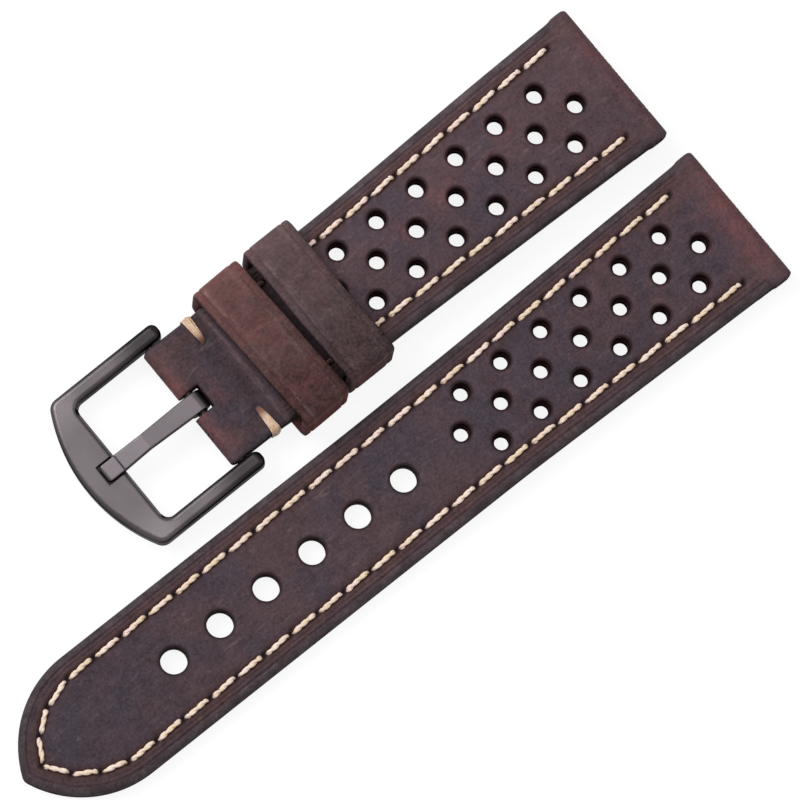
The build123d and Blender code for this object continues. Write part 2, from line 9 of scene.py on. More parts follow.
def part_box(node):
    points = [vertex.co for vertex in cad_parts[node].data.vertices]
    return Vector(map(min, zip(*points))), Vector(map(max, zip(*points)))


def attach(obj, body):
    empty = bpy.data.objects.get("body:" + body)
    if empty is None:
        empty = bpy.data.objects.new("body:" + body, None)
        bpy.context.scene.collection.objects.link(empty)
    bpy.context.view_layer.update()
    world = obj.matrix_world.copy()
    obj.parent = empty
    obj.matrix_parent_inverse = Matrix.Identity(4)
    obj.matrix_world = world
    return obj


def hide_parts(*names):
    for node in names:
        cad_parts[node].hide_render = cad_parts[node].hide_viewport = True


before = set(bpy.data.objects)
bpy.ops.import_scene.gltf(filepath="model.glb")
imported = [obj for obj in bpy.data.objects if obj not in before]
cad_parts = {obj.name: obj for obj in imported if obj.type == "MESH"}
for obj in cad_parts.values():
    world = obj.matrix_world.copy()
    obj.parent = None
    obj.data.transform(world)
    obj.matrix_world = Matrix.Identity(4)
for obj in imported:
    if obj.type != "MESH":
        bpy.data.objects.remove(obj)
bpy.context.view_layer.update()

# A two-piece leather watch strap that lies flat, in the frame of the CAD model.
# Shapes are worked out in millimetres, and MM turns them into the scene's metres.
MM = 0.001

# Strap outline and layers, as in the CAD model
tail_length = 125.0
tail_lug_x = 62.5
short_lug_x = 61.4
fold_x = -14.1
lug_width = 21.7
narrow_width = 19.7
tab_width = 19.4
taper_length = 46.0
taper_softness = 2.5
tip_length = 14.2
tip_radius = 1.5
lining_thickness = 1.0
filler_thickness = 0.9
top_thickness = 1.5
tab_filler_thickness = 0.5
thinning_length = 16.0
thin_tail_length = 62.0
lug_flap_length = 5.75
tab_length = 9.2
tab_step_length = 0.9
tab_flap_length = 17.0
lug_bore_radius = 0.9
tunnel_wall = 0.8
bar_tunnel_radius = 0.8
body_thickness = lining_thickness + filler_thickness + top_thickness
tab_thickness = lining_thickness + tab_filler_thickness + top_thickness
lug_round = body_thickness / 2
fold_round = tab_thickness / 2
slot_half_width = 1.85
slot_depth = 3.2

# The outline's ends as they look in the photograph
lug_flare = 0.14
lug_flare_reach = (3.3, 2.6)
lug_corner_length = 0.9
lug_corner_depth = 0.55
fold_corner_length = 0.8
fold_corner_depth = 0.5
tab_narrowing_reach = (2.2, -1.0)

# Holes and stitches
adjust_count = 6
adjust_pitch = 7.95
adjust_radius = 1.85
adjust_tip_distance = 25.7
vent_count = 7
vent_pitch = 7.0
vent_row_spacing = 4.34
vent_radius = 1.3
vent_lug_distance = 7.5
stitch_inset = 2.85
stitch_pitch = 4.6
tip_stitch_pitch = 4.03
tail_stitch_counts = ((24, 2), (23, 3))
tip_arc_steps = 40
tail_stitch_lug_distance = 6.4
short_stitch_lug_distance = 5.1
short_stitch_run = 59.8
far_row_shift = (-0.47, 0.2)
tack_fold_distance = 7.5
tack_reach = 3.9
keeper_gap_distance = 18.3
keeper_gap_end = fold_x + 19.0
first_needle_reach = (10.8, 11.4)

# Threads: two twisted plies in each stitch, and bundles of strands in the tacks and seams
needle_thread_size = 0.77
bobbin_thread_size = 0.62
needle_lean = 0.11
bobbin_lean = -0.09
ply_radius_share = 0.32
ply_offset_share = 0.155
ply_twist_length = 2.6
stitch_rings = 34
strand_sides = 9
strand_turns = 6
tack_strands = 9
tack_strand_radius = 0.13
tack_rings = 60
seam_strands = 3
seam_strand_radius = 0.12
seam_strand_turns = 5
seam_strand_spacing = 0.17
seam_rings = 26

# Places of the two halves
tail_low, tail_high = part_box("tail_top_leather")
short_low, short_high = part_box("short_top_leather")
tail_y = (tail_low.y + tail_high.y) / 2 / MM
short_y = (short_low.y + short_high.y) / 2 / MM
short_z = short_low.z / MM

# How finely the leather is divided
edge_step = 0.5
stitch_step = 0.26
field_step = 0.75
underside_step = 1.6
step_width = 0.08
layer_play = 0.03
tab_step_columns = (-0.2, 0, 0.3, 0.6, 0.9, 1.1)
fold_steps = 12
hole_sides = 36
quarter_turn = [k * pi / 2 / fold_steps for k in range(fold_steps + 1)]
full_relief_half = 1.2
nothing_near = 99.0


def smooth(low, high, value):
    """0 below low, 1 above high, and an even curve between them."""
    share = np.clip((np.asarray(value, float) - low) / (high - low), 0, 1)
    return share * share * (3 - 2 * share)


def bell(value, width):
    """1 at zero, falling off evenly on both sides, to about a third at the width."""
    return np.exp(-((value / width) ** 2))


def path_lengths(points):
    """How far along a path each of its points lies."""
    return np.concatenate([[0], np.cumsum(np.linalg.norm(np.diff(points, axis=0), axis=1))])


def points_along(points, at):
    """The places at given distances along a path."""
    reached = path_lengths(points)
    return np.stack([np.interp(at, reached, column) for column in np.asarray(points).T], 1)


def waves(points, size, seed):
    """Even noise from -1 to 1 at points, whose bumps are about size across."""
    scale = 1 / size
    offset = seed * 17.3
    return np.array([noise.noise(Vector((x * scale, y * scale, offset))) for x, y in points])


def relief_room(low, top):
    """1 where the leather is thick enough to carry its whole relief, and less where it isn't."""
    return np.clip((top - low) / 2 / full_relief_half, 0, 1)


def corner_inset(past, length, depth):
    """How far a rounded corner draws in, at a distance past the end that it is on."""
    share = np.clip(past / length + 1, 0, 1)
    return depth * (1 - np.sqrt(1 - share**2))


class Half:
    """One half of the strap about its own centre line: outline, heights, holes and stitches."""

    def __init__(self, name, body, lug_x, end_x, vents, adjust, tabbed):
        self.name = name
        self.body = body
        self.lug_x = lug_x
        self.end_x = end_x
        self.tabbed = tabbed
        self.bore_x = lug_x - lug_round
        self.flap_x = lug_x - lug_flap_length
        self.filler_end_x = self.bore_x - lug_bore_radius - tunnel_wall
        self.holes = [(x, y, vent_radius) for x, y in vents]
        self.holes += [(x, 0.0, adjust_radius) for x in adjust]
        self.arc_radius = (tip_length**2 + (narrow_width / 2) ** 2) / narrow_width
        self.arc_x = end_x + tip_length
        self.arc_y = narrow_width / 2 - self.arc_radius
        inner = self.arc_radius - tip_radius
        self.tip_centre_x = self.arc_x - sqrt(inner**2 - self.arc_y**2)
        self.tip_angle = atan2(-self.arc_y, self.tip_centre_x - self.arc_x)
        self.bar_x = end_x + fold_round
        self.tab_x = end_x + tab_length
        self.lining_x = end_x + tab_flap_length

    def half_width(self, x):
        """Half of the width at x, with the fold's slight flare and its rounded corners."""
        x = np.asarray(x, float)
        along = x - (self.lug_x - taper_length)
        rise = (lug_width - narrow_width) / 2 / taper_length
        width = narrow_width / 2 + rise * (along + np.sqrt(along**2 + taper_softness**2)) / 2
        start, end = lug_flare_reach
        width = width + lug_flare * smooth(self.lug_x - start, self.lug_x - end, x)
        width = width - corner_inset(x - self.lug_x, lug_corner_length, lug_corner_depth)
        if self.tabbed:
            start, end = tab_narrowing_reach
            narrowing = smooth(self.tab_x + start, self.tab_x + end, x)
            width = width - (narrow_width - tab_width) / 2 * narrowing
            width = width - corner_inset(self.end_x - x, fold_corner_length, fold_corner_depth)
        return width

    def stations(self, step):
        """Places along the upper edge, from the lug end to where the tip's arc or the fold ends."""
        fold = [self.bore_x + lug_round * cos(angle) for angle in quarter_turn[:-1]]
        stop = self.bar_x if self.tabbed else self.arc_x
        count = round((self.bore_x - stop) / step)
        body = list(np.linspace(self.bore_x, stop, count + 1))
        body += [self.flap_x, self.flap_x + step_width]
        if self.tabbed:
            body += [self.tab_x, self.tab_x + tab_step_length, self.lining_x, self.lining_x - step_width]
            body += [self.bar_x - fold_round * sin(angle) for angle in quarter_turn[1:]]
        return sorted(set(round(x, 6) for x in fold + body), reverse=True)

    def ring(self, inset, step):
        """The outline moved in by an inset, open at the lug end: upper side, tip, lower side."""
        xs = np.array(self.stations(step))
        upper = list(zip(xs, self.half_width(xs) - inset))
        if self.tabbed:
            return upper, [(x, -y) for x, y in reversed(upper)]
        radius = self.arc_radius - inset
        if inset < tip_radius:
            end = self.tip_angle
        else:
            end = pi - asin(-self.arc_y / radius)
        count = max(round(radius * (end - pi / 2) / step), 2)
        for k in range(1, count + 1):
            angle = pi / 2 + (end - pi / 2) * k / count
            upper.append((self.arc_x + radius * cos(angle), self.arc_y + radius * sin(angle)))
        if inset < tip_radius:
            for k in range(1, 5):
                angle = end + (pi - end) * k / 4
                size = tip_radius - inset
                upper.append((self.tip_centre_x + size * cos(angle), size * sin(angle)))
        return upper, [(x, -y) for x, y in reversed(upper[:-1])]

    def outline(self, step):
        """The closed outline. The short half's has the slot for the tongue in its fold."""
        upper, lower = self.ring(0, step)
        if not self.tabbed:
            middle = []
        else:
            side = upper[-1][1]
            shelf = list(np.linspace(side, slot_half_width, 18))[1:]
            fold = [(self.end_x, y) for y in shelf]
            slot = [
                (self.bar_x - fold_round * cos(angle), slot_half_width) for angle in quarter_turn[1:]
            ]
            floor_x = self.end_x + slot_depth
            slot += [(x, slot_half_width) for x in np.linspace(self.bar_x, floor_x, 7)[1:]]
            slot += [(floor_x, y) for y in np.linspace(slot_half_width, 0, 5)[1:-1]]
            half = fold + slot
            middle = half + [(floor_x, 0.0)] + [(x, -y) for x, y in reversed(half)]
        width = upper[0][1]
        end = [(self.lug_x, y) for y in np.linspace(-width, width, 30)[1:-1]]
        return upper + middle + lower + end

    def inset(self, x, y):
        """Distance in from the outline's long sides and tip."""
        side = self.half_width(x) - np.abs(y)
        if self.tabbed:
            return side
        from_centre = np.hypot(x - self.arc_x, np.abs(y) - self.arc_y)
        arc = self.arc_radius - from_centre
        angle = np.arctan2(np.abs(y) - self.arc_y, x - self.arc_x)
        tip = tip_radius - np.hypot(x - self.tip_centre_x, y)
        at_tip = np.where(angle > self.tip_angle, tip, arc)
        return np.where(x > self.arc_x, side, at_tip)

    def slot_gap(self, x, y):
        """Distance from the tongue's slot, or a long way where there is none."""
        if not self.tabbed:
            return np.full(len(x), nothing_near)
        over_x = np.maximum(x - (self.end_x + slot_depth), 0)
        over_y = np.maximum(np.abs(y) - slot_half_width, 0)
        return np.hypot(over_x, over_y)

    def filler(self, x):
        """The filler's thickness at x."""
        if self.tabbed:
            share = np.clip((x - self.tab_x) / tab_step_length, 0, 1)
            return tab_filler_thickness + (filler_thickness - tab_filler_thickness) * share
        return filler_thickness * smooth(
            self.end_x + thin_tail_length, self.end_x + thin_tail_length + thinning_length, x
        )

    def levels(self, x):
        """The plain lower and upper surface at x, round where the leather folds over a bar."""
        top = lining_thickness + self.filler(x) + top_thickness
        low = np.zeros_like(x)
        folds = [(x - self.bore_x, lug_round)]
        if self.tabbed:
            folds.append((self.bar_x - x, fold_round))
        for past, radius in folds:
            height = radius * np.sqrt(1 - np.clip(past / radius, 0, 1) ** 2)
            top = np.where(past > 0, radius + height, top)
            low = np.where(past > 0, radius - height, low)
        return low, top


def vent_places(lug_x):
    first = lug_x - vent_lug_distance - (vent_count - 1) * vent_pitch
    middle = [(first + i * vent_pitch, 0.0) for i in range(vent_count)]
    outer = [
        (first + (i + 0.5) * vent_pitch, side * vent_row_spacing)
        for i in range(vent_count - 1)
        for side in (-1, 1)
    ]
    return middle + outer


tail_end_x = tail_lug_x - tail_length
adjust_xs = [tail_end_x + adjust_tip_distance + i * adjust_pitch for i in range(adjust_count)]
tail = Half("tail", "long_half", tail_lug_x, tail_end_x, vent_places(tail_lug_x), adjust_xs, False)
short = Half("short", "short_half", short_lug_x, fold_x, vent_places(short_lug_x), [], True)


# Needle holes at an even pitch along each row
def straight_inset(lug_x, inset, side):
    return [
        (lug_x, side * (lug_width / 2 - inset)),
        (lug_x - taper_length, side * (narrow_width / 2 - inset)),
    ]


def tail_needles():
    path = straight_inset(tail_lug_x, stitch_inset, 1)
    path += [(tail.arc_x, narrow_width / 2 - stitch_inset)]
    radius = tail.arc_radius - stitch_inset
    end = pi - asin(-tail.arc_y / radius)
    for k in range(1, tip_arc_steps + 1):
        angle = pi / 2 + (end - pi / 2) * k / tip_arc_steps
        path.append((tail.arc_x + radius * cos(angle), tail.arc_y + radius * sin(angle)))
    length = path_lengths(path)[-1] - tail_stitch_lug_distance
    sides = []
    for even, last in tail_stitch_counts:
        spans = np.array([stitch_pitch] * even + [tip_stitch_pitch] * last)
        spans *= length / spans.sum()
        at = tail_stitch_lug_distance + np.concatenate([[0], np.cumsum(spans)])
        sides.append(points_along(path, at))
    return np.concatenate([sides[0], sides[1][-2::-1] * (1, -1)])


def short_needles(side):
    path = straight_inset(short_lug_x, stitch_inset, side)
    path.append((fold_x, side * (narrow_width / 2 - stitch_inset)))
    count = round(short_stitch_run / stitch_pitch)
    at = short_stitch_lug_distance + np.arange(count + 1) * short_stitch_run / count
    return points_along(path, at) + (far_row_shift if side > 0 else (0.0, 0.0))


tail_rows = [tail_needles()]
short_rows = [short_needles(1), short_needles(-1)]

# The show face's relief across its edge, as inset and height: a bevel, two creases, a ridge
# and the channel that the stitches lie in
edge_relief = [
    (0.0, -0.62), (0.08, -0.45), (0.2, -0.3), (0.4, -0.17), (0.7, -0.07), (0.92, -0.03),
    (1.02, -0.06), (1.1, -0.17), (1.18, -0.17), (1.28, -0.03), (1.45, 0.02), (1.6, 0.0),
    (1.7, -0.11), (1.78, -0.11), (1.9, 0.0), (2.1, 0.04), (2.35, 0.0), (2.6, -0.07),
    (2.85, -0.1), (3.1, -0.06), (3.5, 0.0),
]
under_relief = [(0.0, 0.22), (0.1, 0.09), (0.3, 0.02), (0.6, 0.0)]

# Where more points lie: insets beside the stitches, and distances from the holes and the slot
fine_insets = (2.47, 2.73, 2.98, 3.24)
coarse_insets = (2.5, 2.7, 2.85, 3.0, 3.2)
fine_rings = (0.07, 0.16, 0.28, 0.45, 0.7, 1.0)
coarse_rings = (0.1, 0.3, 0.7)
slot_rings = (0.12, 0.28, 0.5)


def stitch_shape(points, rows, groove_width):
    """How much each point lies under a stitch, and how near it is to a needle hole, 0 to 1."""
    under = np.zeros(len(points))
    needle = np.zeros(len(points))
    for row in rows:
        for first, last in zip(row, row[1:]):
            near = np.abs(points - (first + last) / 2).max(1) < stitch_pitch
            if not near.any():
                continue
            along = (last - first) / np.hypot(*(last - first))
            local = points[near] - first
            distance = local @ along
            across = local @ np.array([-along[1], along[0]])
            length = np.hypot(*(last - first))
            window = smooth(0.1, 0.7, distance) * smooth(length - 0.1, length - 0.7, distance)
            under[near] = np.maximum(under[near], window * bell(across, groove_width))
        for x, y in row:
            near = np.abs(points - (x, y)).max(1) < 2
            gap = points[near] - (x, y)
            slant = gap[:, 1] * 0.35
            reach = ((gap[:, 0] - slant) / 0.42) ** 2 + (gap[:, 1] / 0.46) ** 2
            needle[near] = np.maximum(needle[near], np.exp(-reach))
    return under, needle


def hole_gap(half, points):
    """Distance from the rim of the nearest punched hole."""
    gap = np.full(len(points), nothing_near)
    for x, y, radius in half.holes:
        gap = np.minimum(gap, np.hypot(points[:, 0] - x, points[:, 1] - y) - radius)
    return gap


def sheet_points(half, fine):
    """The inner points of one face: rows along its edges and stitches, rings round its holes."""
    relief, stitch_insets, rings, step, field_inset = (
        (edge_relief, fine_insets, fine_rings, field_step, 3.6) if fine
        else (under_relief, coarse_insets, coarse_rings, underside_step, 3.4)
    )
    points = []
    spacings = [(inset, edge_step if inset < 2.3 else stitch_step) for inset, _ in relief[1:]]
    for inset, spacing in spacings + [(inset, stitch_step) for inset in stitch_insets]:
        upper, lower = half.ring(inset, spacing)
        points += upper[1:] + lower[:-1]
    points = np.array(points)
    points = points[points[:, 0] > half.end_x + 1e-3]
    points = np.concatenate([points, field_points(half, step, field_inset)])
    points = points[hole_gap(half, points) > rings[-1] + 0.15]
    for x, y, radius in half.holes:
        for k, ring in enumerate(rings):
            angles = (np.arange(hole_sides) + (k + 1) % 2 / 2) * 2 * pi / hole_sides
            reach = radius + ring
            circle = np.stack([x + reach * np.cos(angles), y + reach * np.sin(angles)], 1)
            points = np.concatenate([points, circle])
    if half.tabbed:
        points = points[half.slot_gap(points[:, 0], points[:, 1]) > 0.08]
        lips = []
        for gap in slot_rings:
            side = slot_half_width + gap
            end = half.end_x + slot_depth + gap
            lips += [(x, s * side) for x in np.arange(half.bar_x, end, 0.3) for s in (-1, 1)]
            lips += [(end, y) for y in np.linspace(-side, side, 14)]
        lips = np.array(lips)
        far = np.abs(points[:, None, :] - lips[None, :, :]).max(2).min(1) > 0.08
        points = np.concatenate([points[far], lips])
    return points


def field_points(half, step, inset):
    """Staggered points over a face away from its edges, with a column of them at each bend."""
    xs = np.arange(half.end_x, half.lug_x, step)
    field = []
    for row, y in enumerate(np.arange(-lug_width / 2, lug_width / 2, step * sqrt(3) / 2)):
        field += [(x + (row % 2) * step / 2, y) for x in xs]
    field = np.array(field)
    bends = [half.bore_x + lug_round * sin(angle) for angle in quarter_turn[:-1]]
    if half.tabbed:
        bends += [half.bar_x - fold_round * sin(angle) for angle in quarter_turn[:-1]]
        bends += [half.tab_x + column for column in tab_step_columns]
    bends += [half.flap_x, half.flap_x + step_width]
    if half.tabbed:
        bends += [half.lining_x, half.lining_x - step_width]
    for x in bends:
        field = field[np.abs(field[:, 0] - x) > 0.12]
    field = field[(field[:, 0] < half.bore_x) & (field[:, 0] > half.end_x + 0.3)]
    if half.tabbed:
        field = field[field[:, 0] > half.bar_x]
    column = np.arange(-lug_width / 2, lug_width / 2, 0.6)
    field = np.concatenate([field] + [np.stack([np.full(len(column), x), column], 1) for x in bends])
    return field[half.inset(field[:, 0], field[:, 1]) > inset]


def hole_loops(half):
    angles = np.arange(hole_sides) * 2 * pi / hole_sides
    return [
        [(x + radius * cos(a), y + radius * sin(a)) for a in angles]
        for x, y, radius in half.holes
    ]


def triangles(loops, points):
    """A flat triangulation of an outline with holes that keeps every given point."""
    flat = [p for loop in loops for p in loop]
    edges = []
    start = 0
    for loop in loops:
        edges += [(start + k, start + (k + 1) % len(loop)) for k in range(len(loop))]
        start += len(loop)
    flat = np.concatenate([np.array(flat), points]) if len(points) else np.array(flat)
    found = geometry.delaunay_2d_cdt([Vector(p) for p in flat], edges, [], 1, 1e-7, True)
    faces, origins = found[2], found[3]
    index = [origin[0] if origin else -1 for origin in origins]
    faces = [tuple(index[v] for v in face) for face in faces if min(index[v] for v in face) >= 0]
    return flat, within(loops, flat, faces)


def within(loops, points, faces):
    """The faces whose middle is inside the first loop and in none of the others."""
    centres = points[np.array(faces)].mean(1)
    inside = np.zeros(len(faces), bool)
    for loop in loops:
        for (x0, y0), (x1, y1) in zip(loop, loop[1:] + loop[:1]):
            if y0 != y1:
                spanned = (centres[:, 1] < y0) != (centres[:, 1] < y1)
                crossing = x0 + (centres[:, 1] - y0) * (x1 - x0) / (y1 - y0)
                inside ^= spanned & (centres[:, 0] < crossing)
    return [face for face, kept in zip(faces, inside) if kept]


def ring_faces(rings):
    """The faces between closed rings of points that follow one another."""
    faces = []
    for first, second in zip(rings, rings[1:]):
        faces += zip(first, np.roll(first, -1), np.roll(second, -1), second)
    return faces


def tube_faces(rings, sides, start=0):
    """The faces round a tube of rings of points, and a cap at each end."""
    grid = start + np.arange(rings * sides).reshape(rings, sides)
    return ring_faces(grid) + [tuple(grid[0][::-1]), tuple(grid[-1])]


def mesh_piece(name, vertices, faces, materials, marks=None, sharp=None):
    """A mesh object in metres from points in millimetres, with a float mark for each point."""
    mesh = bpy.data.meshes.new(name)
    mesh.from_pydata([Vector(v) * MM for v in vertices], [], faces)
    for mark, values in (marks or {}).items():
        attribute = mesh.attributes.new(mark, "FLOAT", "POINT")
        attribute.data.foreach_set("value", np.asarray(values, np.float32))
    piece = bpy.data.objects.new(name, mesh)
    bpy.context.scene.collection.objects.link(piece)
    for material in materials:
        mesh.materials.append(material)
    shape = bmesh.new()
    shape.from_mesh(mesh)
    bmesh.ops.remove_doubles(shape, verts=shape.verts, dist=2e-3 * MM)
    bmesh.ops.dissolve_degenerate(shape, dist=1e-3 * MM, edges=shape.edges)
    bmesh.ops.recalc_face_normals(shape, faces=shape.faces)
    shape.to_mesh(mesh)
    shape.free()
    mesh.polygons.foreach_set("use_smooth", [True] * len(mesh.polygons))
    if sharp:
        mesh.set_sharp_from_angle(angle=radians(sharp))
    return piece


def leaned(half, points):
    """The points of one half, with the short one's far side a little wider at its lug end."""
    points = np.array(points)
    if half.tabbed:
        share = smooth(fold_x + 26, fold_x + 64, points[:, 0])
        points[:, 1] += share * (0.08 + 0.042 * np.maximum(points[:, 1], 0))
    return points


def slab(name, half, loops, upper, lower, upper_z, lower_z, wall, place, material, marks):
    """A closed layer: an upper and a lower face on the same loops, joined by walls in rings."""
    up_points, up_faces = triangles(loops, upper)
    low_points, low_faces = triangles(loops, lower)
    up_z = upper_z(up_points)
    low_z = lower_z(low_points)
    vertices = [np.column_stack([up_points, up_z]), np.column_stack([low_points, low_z])]
    kinds = [np.zeros(len(up_points)), np.full(len(low_points), 1.0)]
    faces = list(up_faces) + [tuple(v + len(up_points) for v in face[::-1]) for face in low_faces]
    count = len(up_points) + len(low_points)
    start = 0
    for number, loop in enumerate(loops):
        size = len(loop)
        base = np.array(loop)
        tangent = np.roll(base, -1, axis=0) - np.roll(base, 1, axis=0)
        normal = np.column_stack([tangent[:, 1], -tangent[:, 0]])
        normal /= np.maximum(np.hypot(*normal.T), 1e-9)[:, None]
        if number == 0:
            area = (base[:, 0] * np.roll(base[:, 1], -1) - base[:, 1] * np.roll(base[:, 0], -1)).sum()
            normal *= 1 if area > 0 else -1
        high, low = up_z[start:start + size], low_z[start:start + size]
        rings = wall["rings"][min(number, 1)]
        bands = [np.arange(start, start + size)]
        for k in range(1, rings):
            share = k / rings
            z = high + (low - high) * share
            push = wall["push"](number, base, z, share)
            moved = base + normal * push[:, None]
            vertices.append(np.column_stack([moved, z]))
            kinds.append(np.full(size, 2.0 if number == 0 else 3.0))
            bands.append(np.arange(count, count + size))
            count += size
        bands.append(bands[0] + len(up_points))
        faces += ring_faces(bands)
        start += size
    vertices = np.concatenate(vertices)
    kinds = np.concatenate(kinds)
    values = marks(vertices, kinds)
    vertices = leaned(half, vertices) + np.array(place)
    return mesh_piece(name, vertices, faces, [material], values, sharp=50)


def row_start(half, flat):
    """Leaves out the first needle holes of the short half, which lie under the fixed keeper."""
    start, end = first_needle_reach
    return smooth(fold_x + start, fold_x + end, flat[:, 0]) if half.tabbed else 1.0


def keeper_gap_shade(half, flat):
    """Painted shade for the narrow gap between the two keepers, which hides the strap below it."""
    gap_x = fold_x + keeper_gap_distance
    return 0.85 * np.exp(-(((flat[:, 0] - gap_x) / 0.75) ** 4)) * half.tabbed


def tab_shade(flat):
    """Lighter along the short half, darker over the tab and most in the dip beside the keeper."""
    x = flat[:, 0] - fold_x
    dip = bell(x - tab_length + 1.4, 1.1)
    body = 0.25 + 0.3 * smooth(-2.0, 3.0, flat[:, 1])
    tab = -0.28 + 0.7 * smooth(3.4, 0.6, x) - 0.4 * dip
    return tab + (body - tab) * smooth(8.0, 12.0, x)


def tail_shade(flat):
    return 0.4 * smooth(55, 60, flat[:, 0]) - 0.25 * smooth(-20, -40, flat[:, 0])


def tab_ridge_highlight(flat):
    """A painted highlight along the ridge where the tab meets the thicker leather, just before the fixed
    keeper.
    """
    return bell(flat[:, 0] - short.tab_x - tab_step_length / 2, 0.22)


def leather_marks(half, rows):
    """The marks that the leather's material reads at each point of the show face."""
    def marks(vertices, kinds):
        flat = vertices[:, :2]
        inset = half.inset(flat[:, 0], flat[:, 1])
        fold = smooth(half.lug_x - 3.6, half.lug_x - 2.4, flat[:, 0])
        if half.tabbed:
            fold = np.maximum(fold, smooth(half.tab_x + 1.2, half.tab_x, flat[:, 0]))
        painted = np.where(kinds == 0, smooth(1.12, 0.95, inset), 1.0) * (1 - 0.75 * fold)
        painted = np.where((kinds == 3) | (kinds == 1), 0.0, painted)
        gap = np.maximum(hole_gap(half, flat), 0)
        rim = np.where(kinds == 3, 1.0, bell(gap, 0.55))
        under, needle = stitch_shape(flat, rows, 0.75)
        needle *= row_start(half, flat)
        face = kinds == 0
        return {
            "painted": painted,
            "rim": rim,
            # Painted shadow: a dark ring round each punched hole's rim
            "ring": np.where(face, smooth(0.5, 0.14, gap), 0.0),
            "matt": np.where(kinds >= 2, 1.0, 0.0),
            "hole_wall": np.where(kinds == 3, 1.0, 0.0),
            "thread_halo": np.where(face, under, 0.0),
            # Dark needle holes with painted shade in them, and painted shade in the gap between the
            # keepers
            "needle": np.where(face, np.maximum(needle, keeper_gap_shade(half, flat)), 0.0),
            "strip": np.where(face, smooth(1.0, 1.3, inset) * smooth(3.3, 2.9, inset), 0.0),
            "shade": tab_shade(flat) if half.tabbed else tail_shade(flat),
            "lighter_lines": tab_ridge_highlight(flat) if half.tabbed else np.zeros(len(flat)),
            "pull": pull_marks(half, flat),
        }
    return marks


# Burgundy patches where the oiled leather has been bent or pressed: x, y, reach along, across, strength
tail_pulls = [
    (61.0, 0.0, 4.0, 12.0, 0.85), (57.5, 7.5, 4.0, 4.0, 0.6), (44.0, 7.5, 6.5, 2.6, 0.4),
    (50.0, -7.0, 9.0, 2.5, 0.35), (22.0, 7.6, 12.0, 1.6, 0.3), (-20.0, 8.3, 30.0, 0.9, 0.3),
    (20.0, -8.6, 40.0, 1.3, 0.35), (-40.0, -8.3, 22.0, 1.0, 0.3), (32.0, 1.0, 16.0, 5.0, 0.25),
]
short_pulls = [
    (60.8, 0.0, 2.6, 12.0, 0.7), (55.0, -8.0, 5.5, 3.2, 0.4), (40.0, 2.2, 12.0, 4.2, 0.35),
    (26.0, 2.0, 10.0, 4.0, 0.4), (30.0, 8.6, 25.0, 1.2, 0.4), (34.0, -8.4, 25.0, 0.9, 0.3),
    (-13.4, 0.0, 1.5, 11.0, 0.85), (-9.6, 0.0, 1.3, 3.0, 0.6), (-12.2, -7.0, 2.0, 3.5, 0.5),
    (-12.6, 7.0, 1.8, 3.5, 0.5),
]


def pull_marks(half, flat):
    """How much the oil has been pulled up at each point."""
    pull = np.zeros(len(flat))
    for x, y, along, across, strength in short_pulls if half.tabbed else tail_pulls:
        reach = ((flat[:, 0] - x) / along) ** 2 + ((flat[:, 1] - y) / across) ** 2
        pull = np.maximum(pull, strength * np.exp(-reach))
    return pull


def show_face(half, rows):
    """The top leather's upper surface."""
    insets, heights = zip(*edge_relief)
    hole_marks = [] if not half.tabbed else [
        (half.end_x + tack_fold_distance, side * (tab_width / 2 - tack_reach)) for side in (-1, 1)
    ]

    def height(points):
        x, y = points.T
        low, top = half.levels(x)
        inset = half.inset(x, y)
        plain = smooth(half.lug_x - 4.2, half.lug_x - 3.0, x)
        if half.tabbed:
            tab_end = half.tab_x + tab_step_length
            plain = np.maximum(plain, smooth(tab_end + 0.4, tab_end - 0.4, x))
        edge = np.interp(inset, insets, heights)
        soft = -0.42 * np.exp(-np.maximum(inset, 0) / 0.22)
        relief = edge * (1 - plain) + soft * plain
        gap = np.maximum(hole_gap(half, points), 0)
        relief += -0.24 * np.exp(-gap / 0.13) - 0.05 * bell(gap, 0.7)
        slot = np.maximum(half.slot_gap(x, y), 0)
        relief += -0.28 * np.exp(-slot / 0.16)
        for hole_x, hole_y in hole_marks:
            reach = ((x - hole_x) / 0.55) ** 2 + ((y - hole_y) / 0.6) ** 2
            relief -= 0.5 * np.exp(-reach)
        under, needle = stitch_shape(points, rows, 0.5)
        relief -= 0.2 * under + 0.62 * needle * row_start(half, points)
        relief += 0.035 * waves(points, 7.0, 1) + 0.014 * waves(points, 1.9, 2)
        return top + relief * relief_room(low, top)

    return height


def wall_push(narrowing, roughness):
    """How far a wall stands out: a little roughness, and vent holes that narrow downwards."""
    def push(number, base, z, share):
        rough = np.array([
            noise.noise(Vector((p[0] * 1.7, p[1] * 1.7, h * 2.3 + number))) for p, h in zip(base, z)
        ])
        pushed = roughness * rough - 0.04 * abs(2 * share - 1) ** 5
        if number and np.ptp(base[:, 0]) < 2.5 * vent_radius:
            pushed = pushed - narrowing * smooth(3.2, 1.6, z)
        return pushed
    return push


def cut_bores(piece, places):
    """Bores a hole along Y through a piece for each bar."""
    for x, y, z, radius in places:
        bpy.ops.mesh.primitive_cylinder_add(
            vertices=32, radius=radius * MM, depth=2 * lug_width * MM,
            location=(x * MM, y * MM, z * MM), rotation=(pi / 2, 0, 0),
        )
        cutter = bpy.context.object
        cut = piece.modifiers.new("bore", "BOOLEAN")
        cut.object = cutter
        cut.solver = "EXACT"
        bpy.context.view_layer.objects.active = piece
        bpy.ops.object.modifier_apply(modifier=cut.name)
        bpy.data.objects.remove(cutter)
    piece.data.set_sharp_from_angle(angle=radians(50))


def stand_in(piece, node, body):
    """Puts a piece in the place of a CAD node, on the body it moves with."""
    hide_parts(node)
    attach(piece, body)


